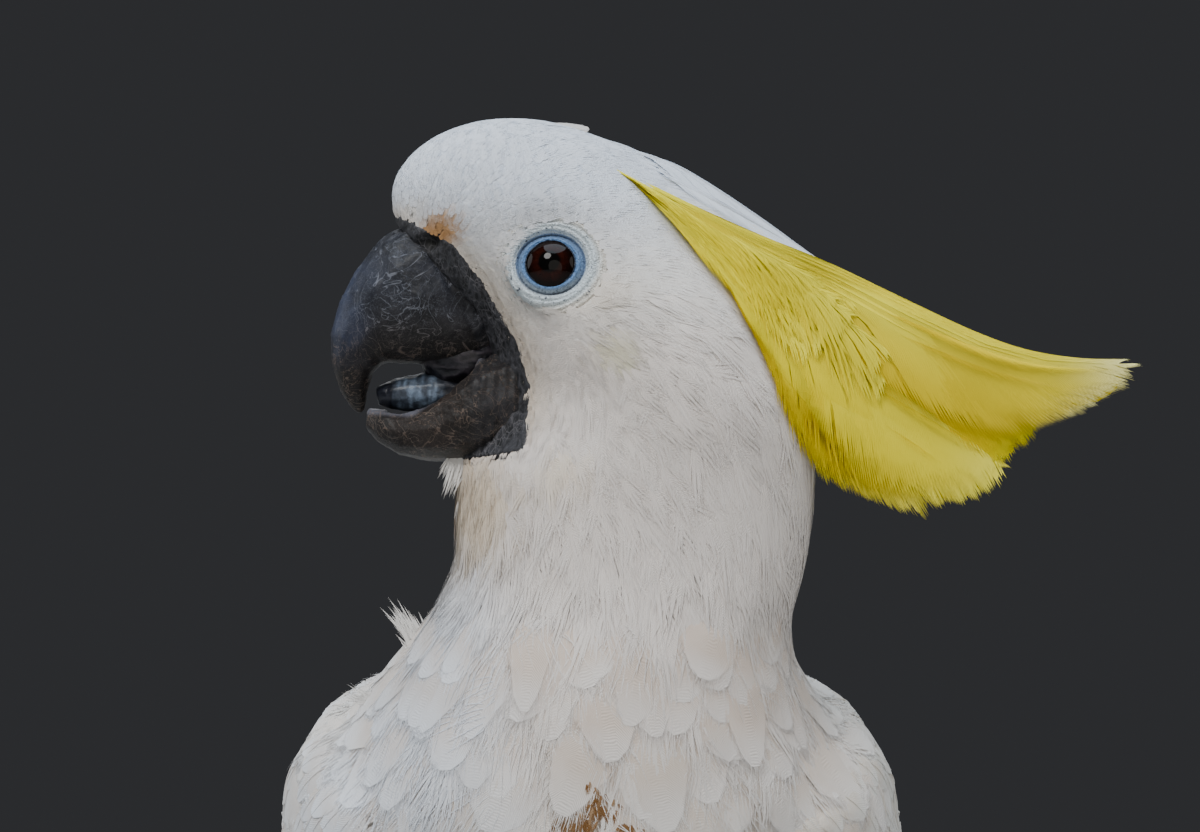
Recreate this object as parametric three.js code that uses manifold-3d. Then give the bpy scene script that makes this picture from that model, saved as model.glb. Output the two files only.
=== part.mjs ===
// A sulphur-crested cockatoo, life size, standing with its head turned to its right and its crest laid back.
// Millimetres. +Z is up, the breast faces -Y, the bill points to -X and the crest sweeps to +X.
// The origin is on the floor, below the middle of the bird's bounding box.
import * as THREE from "three";
import { mergeVertices } from "three/addons/utils/BufferGeometryUtils.js";
import Module from "manifold-3d";

const wasm = await Module();
wasm.setup();

// ---------------------------------------------------------------- driving dimensions

const GAP = 0.3; // clear space between neighbouring solids
const FINEST = 0.08; // detail smaller than this is smoothed off a cut edge
const HEAD = new THREE.Vector3(0, -7, 238); // centre of the head, which its parts are measured from
const EYE_AT = new THREE.Vector3(-7.9, 19.4, 31.7); // eyeball's centre from HEAD; y is its distance from the midplane
const EYE_RADIUS = 7.6;
const EYE_LOOK = new THREE.Vector3(-0.12, 1, 0.24).normalize(); // the way the pupil faces
const LID_REACH = 5.2; // from the eyeball's centre to the plane of the bare eye ring
const LID_RADIUS = 8.4; // middle of the ring's rim
const LID_HALF = { wide: 3.1, thick: 1.2 };
const SEAT_DEPTH = 20; // of the cut that the ring lies in; it only has to reach out of the head

const NECK_CUT = { z: 224, towardNape: 12 }; // height and slope, in degrees, of the cut between head and neck
const BREAST_CUT = { z: 194, towardBreast: 22 }; // and of the one between neck and trunk

const FOOT = { x: 27, y: 63 }; // where a leg meets its toes, from the midline
const ANKLE = { back: 11, z: 34 }; // the heel joint, behind and above the toes
const HIP = { x: 24, y: 44, z: 102 };
const TARSUS_RADIUS = 5.3;
const TOE_RADIUS = 4.7;
const FLAT_DEPTH = 0.5; // how much of each toe's roundness the floor takes away
// angle: turned outward from straight ahead. length: to the root of the claw.
const TOES = [
  { name: "front_inner", angle: -14, length: 30, claw: 14 },
  { name: "front_outer", angle: 20, length: 39, claw: 15 },
  { name: "back_outer", angle: 150, length: 34, claw: 14 },
  { name: "back_inner", angle: 200, length: 21, claw: 11 },
];

const TAIL = { root: [128, 83], end: [276, 12], split: 9 }; // [y, z] of its ends; split parts it from the midline

const WHITE = { color: 0xf4f1ec, roughness: 0.8 };
const YELLOW = { color: 0xf2d41c, roughness: 0.8 };
const BILL_HORN = { color: 0x3b3a42, roughness: 0.5 };
const TONGUE_SKIN = { color: 0x4a4c58, roughness: 0.4 };
const CERE_SKIN = { color: 0x2f2d31, roughness: 0.8 };
const EYE = { color: 0x24100c, roughness: 0.1 };
const RING_SKIN = { color: 0xa9c0dc, roughness: 0.8 };
const FOOT_SKIN = { color: 0x45444a, roughness: 0.7 };
const CLAW_HORN = { color: 0x232226, roughness: 0.35 };

const X_AXIS = new THREE.Vector3(1, 0, 0);
const Y_AXIS = new THREE.Vector3(0, 1, 0);
const Z_AXIS = new THREE.Vector3(0, 0, 1);

// ---------------------------------------------------------------- making and cutting solids

/** The values between a row of stations, as smooth functions of t from 0 (first station) to 1 (last). */
function smooth(stations) {
  const keys = Object.keys(stations[0]);
  const curves = keys.map(
    (key) => new THREE.SplineCurve(stations.map((s, i) => new THREE.Vector2(i, s[key]))),
  );
  return (t) => Object.fromEntries(keys.map((key, i) => [key, curves[i].getPoint(t).y]));
}

/**
 * A closed surface on a sphere's grid. pointAt(t, angle) is a point of its skin, and centreAt(t) closes the ends, which
 * grow pushes outward.
 */
function loft(pointAt, centreAt, around, along, grow = 0) {
  const grid = new THREE.SphereGeometry(1, around, along);
  const place = grid.getAttribute("position");
  const uv = grid.getAttribute("uv");
  const outward = [0, 1].map((end) => {
    const inner = centreAt(end ? 1 - 1 / (along - 2) : 1 / (along - 2));
    return centreAt(end).sub(inner).setLength(grow);
  });
  for (let i = 0; i < place.count; i++) {
    const row = Math.round((1 - uv.getY(i)) * along);
    const t = THREE.MathUtils.clamp((row - 1) / (along - 2), 0, 1);
    const step = Math.round(uv.getX(i) * around) % around;
    const isPole = row === 0 || row === along;
    const p = isPole ? centreAt(t) : pointAt(t, (step / around) * 2 * Math.PI);
    if (t === 0 || t === 1) p.add(outward[t]);
    place.setXYZ(i, p.x, p.y, p.z);
  }
  return grid;
}

/** A manifold-3d solid of a closed geometry, whichever way its faces were wound. */
function solidOf(geometry) {
  const bare = new THREE.BufferGeometry().setAttribute("position", geometry.getAttribute("position"));
  if (geometry.index) bare.setIndex(geometry.index);
  const merged = mergeVertices(bare, 1e-4);
  const triVerts = new Uint32Array(merged.index.array);
  const make = () =>
    new wasm.Manifold(
      new wasm.Mesh({ numProp: 3, vertProperties: merged.attributes.position.array, triVerts }),
    );
  const made = make();
  if (made.volume() > 0) return made;
  for (let i = 0; i < triVerts.length; i += 3) {
    [triVerts[i + 1], triVerts[i + 2]] = [triVerts[i + 2], triVerts[i + 1]];
  }
  return make();
}

/** The three.js geometry of a manifold-3d solid. */
function geometryOf(solid) {
  const mesh = solid.getMesh();
  return new THREE.BufferGeometry()
    .setAttribute("position", new THREE.BufferAttribute(new Float32Array(mesh.vertProperties), 3))
    .setIndex(new THREE.BufferAttribute(new Uint32Array(mesh.triVerts), 1));
}

/** The biggest of the bodies that cuts leave, without the slivers beside it. */
const largest = (solid) => solid.decompose().reduce((a, b) => (b.volume() > a.volume() ? b : a));

/** a without b, as geometries. */
const without = (a, ...cutters) =>
  geometryOf(cutters.reduce((left, cutter) => left.subtract(solidOf(cutter)), solidOf(a)));

/** A half space, as a big box whose lower face passes through a point, square to up. */
function above(point, up, size = 600) {
  const box = new THREE.BoxGeometry(size, size, size).translate(0, 0, size / 2);
  const turn = new THREE.Quaternion().setFromUnitVectors(Z_AXIS, up);
  return box.applyQuaternion(turn).translate(point.x, point.y, point.z);
}

/** The part of a geometry between two planes, each given by a point and its upward normal; either may be left out. */
function slab(geometry, low, high) {
  let solid = solidOf(geometry);
  if (low) solid = solid.intersect(solidOf(above(low.point, low.up)));
  if (high) solid = solid.subtract(solidOf(above(high.point, high.up)));
  return geometryOf(solid);
}

const atHead = (geometry) => geometry.translate(HEAD.x, HEAD.y, HEAD.z);

/** cos and sin of an angle, pushed outward to a superellipse: power 2 is an ellipse, more is squarer. */
function round(angle, power = 2) {
  const push = (v) => Math.sign(v) * Math.abs(v) ** (2 / power);
  return [push(Math.cos(angle)), push(Math.sin(angle))];
}

// ---------------------------------------------------------------- the feathered body, tail root to crown

// Sections from the tail root up to the neck's top. y and z place the middle of one, wide and deep are its half sizes,
// and pitch is the angle in degrees that the spine climbs at.
const TRUNK = [
  { x: 0, y: 180, z: 66, wide: 13, deep: 7, pitch: 29, power: 2 },
  { x: 0, y: 158, z: 74, wide: 25, deep: 19, pitch: 29, power: 2 },
  { x: 0, y: 127, z: 85, wide: 38, deep: 34, pitch: 28, power: 2.1 },
  { x: 0, y: 93, z: 98, wide: 49, deep: 46, pitch: 28, power: 2.1 },
  { x: 0, y: 62, z: 112, wide: 57, deep: 54, pitch: 31, power: 2.1 },
  { x: 0, y: 35, z: 127, wide: 60, deep: 56, pitch: 37, power: 2.1 },
  { x: 0, y: 12, z: 146.5, wide: 58, deep: 54.5, pitch: 47, power: 2.1 },
  { x: 0, y: -3, z: 167, wide: 53, deep: 51, pitch: 58, power: 2.05 },
  { x: 2.4, y: -7, z: 188, wide: 41, deep: 43, pitch: 68, power: 2 },
  { x: 9.3, y: -7, z: 207, wide: 38.7, deep: 35.5, pitch: 78, power: 2 },
  { x: 9.8, y: -7, z: 225, wide: 39.8, deep: 33.5, pitch: 86, power: 2 },
];
// Level sections of the head, by height from HEAD: its front and back edges in profile, and half its width.
const SKULL = [
  { up: 1, front: -17.5, back: 48.4, wide: 33.6 },
  { up: 13, front: -20.5, back: 43.6, wide: 33 },
  { up: 25, front: -27, back: 38, wide: 30.4 },
  { up: 36, front: -36, back: 31.8, wide: 27.2 },
  { up: 45, front: -44.3, back: 25.6, wide: 24.6 },
  { up: 53, front: -43.4, back: 17, wide: 20.8 },
  { up: 59.5, front: -38, back: 6.4, wide: 15.8 },
  { up: 63.8, front: -30, back: -4, wide: 9.4 },
  { up: 65.6, front: -22, back: -13, wide: 3.4 },
];
const BILL_TAPER = 0.3; // how much slimmer the head gets towards the bill

function bodyGeometry() {
  const head = SKULL.map((s) => ({
    x: (s.front + s.back) / 2,
    y: HEAD.y,
    z: HEAD.z + s.up,
    wide: (s.back - s.front) / 2,
    deep: s.wide,
    pitch: 90,
    power: 2,
    taper: BILL_TAPER,
  }));
  const at = smooth([...TRUNK.map((s) => ({ ...s, taper: 0 })), ...head]);
  const pointAt = (t, angle) => {
    const s = at(t);
    const pitch = THREE.MathUtils.degToRad(s.pitch);
    const [across, through] = round(angle, s.power);
    const slim = 1 - s.taper * Math.max(0, -across) ** 2;
    const depth = s.deep * through * slim;
    return new THREE.Vector3(
      s.x + s.wide * across,
      s.y + depth * Math.sin(pitch),
      s.z + depth * Math.cos(pitch),
    );
  };
  const centreAt = (t) => {
    const s = at(t);
    return new THREE.Vector3(s.x, s.y, s.z);
  };
  return loft(pointAt, centreAt, 24, 34);
}

// ---------------------------------------------------------------- horns and plumes drawn in the head's profile plane

/** A solid through sections that stand between an upper and a lower line of the profile, [x, z] from HEAD. */
function blade(stations, { around = 10, along = 10, power = 2, grow = 0 } = {}) {
  const at = smooth(
    stations.map((s) => ({ tx: s.top[0], tz: s.top[1], bx: s.low[0], bz: s.low[1], wide: s.wide, y: s.y ?? 0 })),
  );
  const middle = (s) => new THREE.Vector3((s.tx + s.bx) / 2, s.y, (s.tz + s.bz) / 2);
  const pointAt = (t, angle) => {
    const s = at(t);
    const [through, across] = round(angle, power);
    const half = new THREE.Vector3((s.tx - s.bx) / 2, 0, (s.tz - s.bz) / 2);
    half.setLength(half.length() + grow);
    const p = middle(s).addScaledVector(half, through);
    p.y += (s.wide + grow) * across;
    return p;
  };
  return atHead(loft(pointAt, (t) => middle(at(t)), around, along, grow));
}

const UPPER_BILL = [
  { top: [-33, 41], low: [-20, 15], wide: 9 },
  { top: [-41.5, 42.3], low: [-26, 12], wide: 11.8 },
  { top: [-49, 35], low: [-32.5, 11.6], wide: 11.6 },
  { top: [-54.2, 26.5], low: [-40, 11.8], wide: 10.2 },
  { top: [-56.8, 17.5], low: [-45.6, 12], wide: 8.2 },
  { top: [-55.9, 9], low: [-48.6, 8.6], wide: 4.9 },
  { top: [-53.2, 3.4], low: [-49.4, 4], wide: 2.4 },
  { top: [-50.9, 0.8], low: [-50, 1.2], wide: 0.6 },
];
const LOWER_BILL = [
  { top: [-12.4, 11.4], low: [-12.6, -5.6], wide: 12 },
  { top: [-18.6, 15.6], low: [-15.6, -8], wide: 13.8 },
  { top: [-26.5, 11.8], low: [-23, -9.6], wide: 13.8 },
  { top: [-33.5, 5.6], low: [-32, -10.2], wide: 12.6 },
  { top: [-40.5, 1.9], low: [-40, -9.2], wide: 10 },
  { top: [-45.6, 1.2], low: [-45.8, -6.4], wide: 7 },
  { top: [-48.6, 1.6], low: [-49.4, -2.6], wide: 3.6 },
];
const MOUTH = [
  { top: [-22, 16], low: [-20, 5.5], wide: 8 },
  { top: [-30, 13.5], low: [-28, -2.5], wide: 9.6 },
  { top: [-38, 9], low: [-37, -4.5], wide: 8.2 },
  { top: [-45.5, 6], low: [-44.5, -1.5], wide: 4.4 },
];
const TONGUE = [
  { top: [-20, 8.8], low: [-20.5, 3.8], wide: 3 },
  { top: [-27, 9.6], low: [-28, 1.4], wide: 4.6 },
  { top: [-34, 9.8], low: [-34.5, 0.6], wide: 4.8 },
  { top: [-40, 8.6], low: [-40.5, 1.2], wide: 4.3 },
  { top: [-44, 6.2], low: [-43.6, 2.6], wide: 2.2 },
];
const CERE = [
  { top: [-24, 41], low: [-13, 20], wide: 9 },
  { top: [-31.5, 44.2], low: [-20, 18.5], wide: 13.6 },
  { top: [-38, 45], low: [-25.5, 24], wide: 13.4 },
  { top: [-42.6, 44], low: [-33, 32], wide: 10.6 },
];

const CREST = {
  crest_white: [
    { top: [-10, 60], low: [-4, 53], wide: 2.5 },
    { top: [0, 63], low: [3, 51], wide: 7.5 },
    { top: [15.5, 56.6], low: [12, 43], wide: 9.2 },
    { top: [30, 48.6], low: [24, 34], wide: 9.4 },
    { top: [42, 40.2], low: [36, 30.5], wide: 8.2 },
    { top: [51, 34], low: [48.8, 29], wide: 5.4 },
    { top: [56.5, 30.2], low: [56, 28.8], wide: 2 },
  ],
  crest_upper: [
    { top: [14, 45], low: [18, 35], wide: 4 },
    { top: [30, 36], low: [33, 22], wide: 7 },
    { top: [53, 32.4], low: [45, 16], wide: 7.6 },
    { top: [70.4, 22], low: [62, 5.5], wide: 6.6 },
    { top: [88, 13.4], low: [80, -2], wide: 5.4 },
    { top: [102, 10.2], low: [98, -3], wide: 4.2 },
    { top: [112, 10.6], low: [112, -0.2], wide: 3 },
    { top: [118.3, 11.2], low: [118.2, 4], wide: 1.4 },
  ],
  crest_middle: [
    { top: [44, 15], low: [40, 9], wide: 3.6 },
    { top: [60, 5.6], low: [56, -0.4], wide: 5 },
    { top: [78, -3], low: [74, -8], wide: 4.4 },
    { top: [90, -4.4], low: [85, -11], wide: 3.2 },
    { top: [95.4, -5.4], low: [92.5, -10], wide: 1.4 },
  ],
  crest_lower: [
    { top: [33, 22], low: [36, 14], wide: 4 },
    { top: [44, 11], low: [44.5, 0], wide: 6.4 },
    { top: [57, 0.6], low: [54, -11.5], wide: 6.2 },
    { top: [70, -5.6], low: [64, -17], wide: 5.4 },
    { top: [82, -10.4], low: [75, -20.8], wide: 4 },
    { top: [89, -14.4], low: [84, -20.4], wide: 1.6 },
  ],
};

// ---------------------------------------------------------------- wings and tail

// A folded wing wraps the trunk's side. At each section along it: the trunk's middle, the outer half width and half
// depth, how thick it is, and the angles from the back's midline at which its upper and lower edges lie.
const WING = [
  { y: -3, z: 165, wide: 54, deep: 51, thick: 5, pitch: 58, from: 92, to: 118 },
  { y: -1, z: 164, wide: 60, deep: 55, thick: 10, pitch: 57, from: 64, to: 127 },
  { y: 6, z: 158, wide: 66.5, deep: 58.5, thick: 14, pitch: 53, from: 43, to: 128 },
  { y: 20, z: 145, wide: 71, deep: 61.5, thick: 15, pitch: 46, from: 30, to: 123 },
  { y: 42, z: 127, wide: 72, deep: 63, thick: 15, pitch: 37, from: 22, to: 117 },
  { y: 68, z: 111, wide: 68, deep: 60, thick: 13, pitch: 31, from: 16, to: 112 },
  { y: 98, z: 96, wide: 59.5, deep: 53, thick: 11, pitch: 28, from: 12, to: 108 },
  { y: 130, z: 81, wide: 48, deep: 43, thick: 9, pitch: 28, from: 9, to: 104 },
  { y: 162, z: 67.5, wide: 36, deep: 32, thick: 7, pitch: 27, from: 8, to: 98 },
  { y: 194, z: 51.5, wide: 26, deep: 24, thick: 5, pitch: 26, from: 12, to: 92 },
  { y: 222, z: 38, wide: 19, deep: 17, thick: 3.6, pitch: 26, from: 20, to: 84 },
  { y: 247, z: 26.6, wide: 13, deep: 12, thick: 2.2, pitch: 26, from: 36, to: 68 },
];
// Where the wing is parted into its coverts, secondaries and primaries: a point beside the midline and the cut's slope.
const WING_CUTS = [
  { y: 92, z: 102, tilt: 24 },
  { y: 176, z: 60, tilt: 14 },
];
const WING_SLOPE = 29;
const WING_EDGE = 0.32; // the wing's edges lie this deep, as a share of its thickness, below its outer face
const WING_PARTS = ["coverts", "secondaries", "primaries"];

function wingGeometry(side, grow = 0) {
  const at = smooth(WING);
  const pointAt = (t, angle) => {
    const s = at(t);
    const pitch = THREE.MathUtils.degToRad(s.pitch);
    // The angle runs round a lens: along its outer face and back along its inner one.
    const across = Math.cos(angle);
    const proud = Math.sin(angle);
    const middle = (s.from + s.to) / 2;
    const half = (s.to - s.from) / 2 + THREE.MathUtils.radToDeg(grow / s.deep);
    const turn = THREE.MathUtils.degToRad(middle + half * across);
    const face = proud > 0 ? WING_EDGE * (1 - proud) : WING_EDGE - (1 - WING_EDGE) * proud;
    const inset = s.thick * face - grow * Math.min(1, 1 + 2 * proud);
    const depth = (s.deep - inset) * Math.cos(turn);
    return new THREE.Vector3(
      side * (s.wide - inset) * Math.sin(turn),
      s.y + depth * Math.sin(pitch),
      s.z + depth * Math.cos(pitch),
    );
  };
  const centreAt = (t) => {
    const a = pointAt(t, Math.PI / 2);
    return a.add(pointAt(t, -Math.PI / 2)).multiplyScalar(0.5);
  };
  return loft(pointAt, centreAt, 12, 20, grow);
}

/** The wing parted across its length by thin cuts, from the bend to the tip. */
function wingParts(side) {
  const planes = WING_CUTS.map(({ y, z, tilt }) => {
    const slope = THREE.MathUtils.degToRad(WING_SLOPE + tilt);
    return { point: new THREE.Vector3(0, y, z), up: new THREE.Vector3(0, Math.cos(slope), -Math.sin(slope)) };
  });
  const shifted = ({ point, up }) => ({ point: point.clone().addScaledVector(up, GAP), up });
  const whole = wingGeometry(side);
  return WING_PARTS.map((part, i) =>
    slab(whole, i > 0 ? shifted(planes[i - 1]) : null, i < planes.length ? planes[i] : null),
  );
}

const TAIL_SECTIONS = [
  { s: 0, wide: 14, deep: 5 },
  { s: 0.3, wide: 21, deep: 5 },
  { s: 0.6, wide: 27, deep: 4.2 },
  { s: 0.86, wide: 31, deep: 3 },
  { s: 0.96, wide: 27, deep: 2.2 },
  { s: 1, wide: 15, deep: 1.4 },
];
const TAIL_ROOF = 5; // how far the tail's edges hang below its middle

function tailGeometry(grow = 0) {
  const at = smooth(TAIL_SECTIONS);
  const [rootY, rootZ] = TAIL.root;
  const [endY, endZ] = TAIL.end;
  const run = new THREE.Vector3(0, endY - rootY, endZ - rootZ);
  const up = new THREE.Vector3(0, -run.z, run.y).normalize();
  const pointAt = (t, angle) => {
    const s = at(t);
    const [across, through] = round(angle, 2.6);
    const p = new THREE.Vector3(across * (s.wide + grow), rootY, rootZ).addScaledVector(run, s.s);
    return p.addScaledVector(up, through * (s.deep + grow) - TAIL_ROOF * across ** 2);
  };
  const centreAt = (t) => new THREE.Vector3(0, rootY, rootZ).addScaledVector(run, at(t).s);
  return loft(pointAt, centreAt, 16, 9, grow);
}

/** The tail parted lengthwise: its middle feathers and the fan on each side. */
function tailParts(whole) {
  const plane = (x, way) => ({ point: new THREE.Vector3(x, 0, 0), up: new THREE.Vector3(way, 0, 0) });
  return {
    tail_right: slab(whole, plane(-TAIL.split - GAP, -1), null),
    tail_middle: slab(whole, plane(-TAIL.split, 1), plane(TAIL.split, 1)),
    tail_left: slab(whole, plane(TAIL.split + GAP, 1), null),
  };
}

// ---------------------------------------------------------------- legs

/**
 * A round limb through stations of x, y, z and a radius r. Its sections are level, or square to a level direction if
 * one is given.
 */
function limb(stations, { around = 14, along = 10, direction = null, grow = 0 } = {}) {
  const at = smooth(stations);
  const pointAt = (t, angle) => {
    const s = at(t);
    const [a, b] = round(angle);
    if (!direction) {
      return new THREE.Vector3(s.x + a * (s.r + grow), s.y + b * (s.r + grow), s.z);
    }
    const side = new THREE.Vector3(-direction.y, direction.x, 0);
    return new THREE.Vector3(s.x, s.y, s.z + b * (s.r + grow)).addScaledVector(side, a * (s.r + grow));
  };
  const centreAt = (t) => {
    const s = at(t);
    return new THREE.Vector3(s.x, s.y, s.z);
  };
  return loft(pointAt, centreAt, around, along, grow);
}

// Round sections of a feathered thigh: how far down from hip to ankle, how far out from the line between them, radius.
const THIGH = [
  { down: 0, out: -6, r: 12 },
  { down: 0.15, out: -3, r: 19 },
  { down: 0.32, out: 0, r: 24 },
  { down: 0.52, out: 1.5, r: 23.5 },
  { down: 0.72, out: 1.5, r: 17.5 },
  { down: 0.88, out: 0, r: 11.2 },
  { down: 1, out: 0, r: 7.8 },
];

function thighGeometry(side, grow = 0) {
  const stations = THIGH.map(({ down, out, r }) => ({
    x: side * (THREE.MathUtils.lerp(HIP.x, FOOT.x, down) + out),
    y: THREE.MathUtils.lerp(HIP.y, FOOT.y + ANKLE.back, down),
    z: THREE.MathUtils.lerp(HIP.z, ANKLE.z - 4, down),
    r,
  }));
  return limb(stations, { around: 12, along: 9, grow });
}

const toeDirection = (side, angle) => {
  const turn = THREE.MathUtils.degToRad(angle);
  return new THREE.Vector3(side * Math.sin(turn), -Math.cos(turn), 0);
};

function toeGeometry(side, toe) {
  const along = toeDirection(side, toe.angle);
  const at = (reach, r, rise) => ({
    x: side * FOOT.x + along.x * reach,
    y: FOOT.y + along.y * reach,
    z: r - FLAT_DEPTH + rise,
    r,
  });
  const stations = [
    at(-3, TOE_RADIUS * 0.9, 2.5),
    at(toe.length * 0.3, TOE_RADIUS, 0.6),
    at(toe.length * 0.55, TOE_RADIUS * 0.95, 0),
    at(toe.length * 0.85, TOE_RADIUS * 0.88, 0),
    at(toe.length + 2.5, TOE_RADIUS * 0.5, 1),
  ];
  return limb(stations, { around: 8, along: 7, direction: along });
}

function clawGeometry(side, toe, grow = 0) {
  const along = toeDirection(side, toe.angle);
  const at = (reach, z, r) => ({
    x: side * FOOT.x + along.x * (toe.length + reach),
    y: FOOT.y + along.y * (toe.length + reach),
    z,
    r,
  });
  const stations = [
    at(-2, 4.6, 1.7),
    at(1, 5.4, 2.3),
    at(toe.claw * 0.4, 5.3, 1.9),
    at(toe.claw * 0.72, 3.6, 1.3),
    at(toe.claw * 0.95, 1.2, 0.55),
  ];
  return limb(stations, { around: 6, along: 5, direction: along, grow });
}

function footGeometry(side) {
  const x = side * FOOT.x;
  const tarsus = limb(
    [
      { x, y: FOOT.y + ANKLE.back + 1, z: ANKLE.z + 3, r: TARSUS_RADIUS * 0.8 },
      { x, y: FOOT.y + ANKLE.back, z: ANKLE.z - 2, r: TARSUS_RADIUS * 1.15 },
      { x, y: FOOT.y + ANKLE.back * 0.6, z: ANKLE.z * 0.58, r: TARSUS_RADIUS * 0.95 },
      { x, y: FOOT.y + ANKLE.back * 0.15, z: 13, r: TARSUS_RADIUS * 1.05 },
      { x, y: FOOT.y, z: 5, r: TARSUS_RADIUS * 1.1 },
    ],
    { around: 8, along: 7 },
  );
  const floor = above(new THREE.Vector3(), Z_AXIS.clone().negate());
  let foot = solidOf(tarsus);
  for (const toe of TOES) foot = foot.add(solidOf(toeGeometry(side, toe)));
  foot = foot.subtract(solidOf(floor));
  for (const toe of TOES) foot = foot.subtract(solidOf(clawGeometry(side, toe, GAP)));
  return geometryOf(foot);
}

// ---------------------------------------------------------------- eyes and their bare rings

const eyeCentre = (side) => new THREE.Vector3(EYE_AT.x, side * EYE_AT.y, EYE_AT.z);
const eyeLook = (side) => new THREE.Vector3(EYE_LOOK.x, side * EYE_LOOK.y, EYE_LOOK.z);

function eyeGeometry(side, grow = 0) {
  const c = eyeCentre(side);
  return atHead(new THREE.SphereGeometry(EYE_RADIUS + grow, 12, 8).translate(c.x, c.y, c.z));
}

function eyeRingGeometry(side) {
  const rim = new THREE.EllipseCurve(LID_RADIUS, 0, LID_HALF.wide, LID_HALF.thick);
  const profile = rim.getPoints(5);
  profile[profile.length - 1] = profile[0].clone();
  const ring = new THREE.LatheGeometry(profile, 14);
  const look = eyeLook(side);
  const turn = new THREE.Quaternion().setFromUnitVectors(Y_AXIS, look);
  const centre = eyeCentre(side).addScaledVector(look, LID_REACH);
  return atHead(ring.applyQuaternion(turn).translate(centre.x, centre.y, centre.z));
}

/** What the head loses to an eye: the ball's room, and a round seat for the ring. */
function eyeSocketCutters(side) {
  const look = eyeLook(side);
  const seat = new THREE.CylinderGeometry(1, 1, SEAT_DEPTH, 14).translate(0, SEAT_DEPTH / 2, 0);
  seat.scale(LID_RADIUS + LID_HALF.wide + GAP, 1, LID_RADIUS + LID_HALF.wide + GAP);
  const turn = new THREE.Quaternion().setFromUnitVectors(Y_AXIS, look);
  const centre = eyeCentre(side).addScaledVector(look, LID_REACH - LID_HALF.thick - GAP);
  return [eyeGeometry(side, GAP), atHead(seat.applyQuaternion(turn).translate(centre.x, centre.y, centre.z))];
}

// ---------------------------------------------------------------- the bird

const bird = new THREE.Group();

function add(group, name, geometry, look) {
  const material = new THREE.MeshStandardMaterial({ ...look, metalness: 0 });
  const solid = largest(solidOf(geometry).simplify(FINEST));
  const mesh = new THREE.Mesh(geometryOf(solid), material);
  mesh.name = name;
  group.add(mesh);
}

// The head's left side faces -Y, so the left eye has side -1 there. Wings and legs have their left side at +X.
const EYES = { left: -1, right: 1 };
const SIDES = { left: 1, right: -1 };

const upperBill = (grow = 0) => blade(UPPER_BILL, { around: 12, along: 11, power: 2.3, grow });
const lowerBill = (grow = 0) => blade(LOWER_BILL, { around: 12, along: 9, power: 2.5, grow });
const tongue = (grow = 0) => blade(TONGUE, { along: 7, grow });
const cere = (grow = 0) => blade(CERE, { along: 7, power: 2.2, grow });
const plumes = (grow = 0) => Object.values(CREST).map((stations) => blade(stations, { around: 8, grow }));

function buildHead(whole) {
  const group = new THREE.Group();
  const cutters = [upperBill(GAP), lowerBill(GAP), cere(GAP), ...plumes(GAP)];
  for (const side of Object.values(EYES)) cutters.push(...eyeSocketCutters(side));
  add(group, "head", without(whole, ...cutters), WHITE);
  add(group, "bill_upper", upperBill(), BILL_HORN);
  const mouth = blade(MOUTH, { along: 7 });
  add(group, "bill_lower", without(lowerBill(), mouth, upperBill(GAP), tongue(GAP)), BILL_HORN);
  add(group, "tongue", without(tongue(), upperBill(GAP)), TONGUE_SKIN);
  add(group, "cere", without(cere(), upperBill(GAP)), CERE_SKIN);
  for (const [name, side] of Object.entries(EYES)) {
    add(group, `eye_${name}`, eyeGeometry(side), EYE);
    add(group, `eye_ring_${name}`, without(eyeRingGeometry(side), eyeGeometry(side, GAP)), RING_SKIN);
  }
  const names = Object.keys(CREST);
  plumes().forEach((plume, i) => {
    const laidBefore = plumes(GAP).slice(0, i);
    add(group, names[i], without(plume, ...laidBefore), i === 0 ? WHITE : YELLOW);
  });
  return group;
}

function buildLeg(name, side) {
  const group = new THREE.Group();
  add(group, `leg_${name}_thigh`, without(thighGeometry(side), footCutter(side)), WHITE);
  add(group, `leg_${name}_foot`, footGeometry(side), FOOT_SKIN);
  for (const toe of TOES) add(group, `claw_${name}_${toe.name}`, clawGeometry(side, toe), CLAW_HORN);
  return group;
}

/** The top of the bare leg with room round it, for the thigh to be cut by. */
function footCutter(side) {
  const x = side * FOOT.x;
  const y = FOOT.y + ANKLE.back;
  const wide = TARSUS_RADIUS * 1.15 + 2 * GAP;
  return limb(
    [
      { x, y: y + 1, z: ANKLE.z + 4, r: wide },
      { x, y, z: ANKLE.z - 2, r: wide },
      { x, y: y - 1, z: ANKLE.z - 12, r: wide },
    ],
    { around: 12, along: 6 },
  );
}

/** A plane through the neck at a height, level but for a slope about an axis. */
const neckPlane = (z, axis, degrees) => ({
  point: new THREE.Vector3(0, HEAD.y, z),
  up: Z_AXIS.clone().applyAxisAngle(axis, THREE.MathUtils.degToRad(degrees)),
});

function buildBody() {
  const raised = ({ point, up }) => ({ point: point.clone().addScaledVector(up, GAP), up });
  const whole = bodyGeometry();
  const neckTop = neckPlane(NECK_CUT.z, Y_AXIS, NECK_CUT.towardNape);
  const neckFoot = neckPlane(BREAST_CUT.z, X_AXIS, BREAST_CUT.towardBreast);
  const wings = Object.values(SIDES).map((side) => wingGeometry(side, 2 * GAP));
  const thighs = Object.values(SIDES).map((side) => thighGeometry(side, GAP));
  const group = new THREE.Group();
  bird.add(buildHead(slab(whole, raised(neckTop), null)));
  const neck = slab(whole, raised(neckFoot), neckTop);
  add(group, "neck", without(neck, ...plumes(GAP), ...wings, lowerBill(GAP)), WHITE);
  add(group, "trunk", without(slab(whole, null, neckFoot), ...wings, ...thighs, tailGeometry(GAP)), WHITE);
  for (const [name, part] of Object.entries(tailParts(tailGeometry()))) {
    add(group, name, without(part, ...wings), WHITE);
  }
  for (const [name, side] of Object.entries(SIDES)) {
    wingParts(side).forEach((part, i) => add(group, `wing_${name}_${WING_PARTS[i]}`, part, WHITE));
  }
  return group;
}

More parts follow.
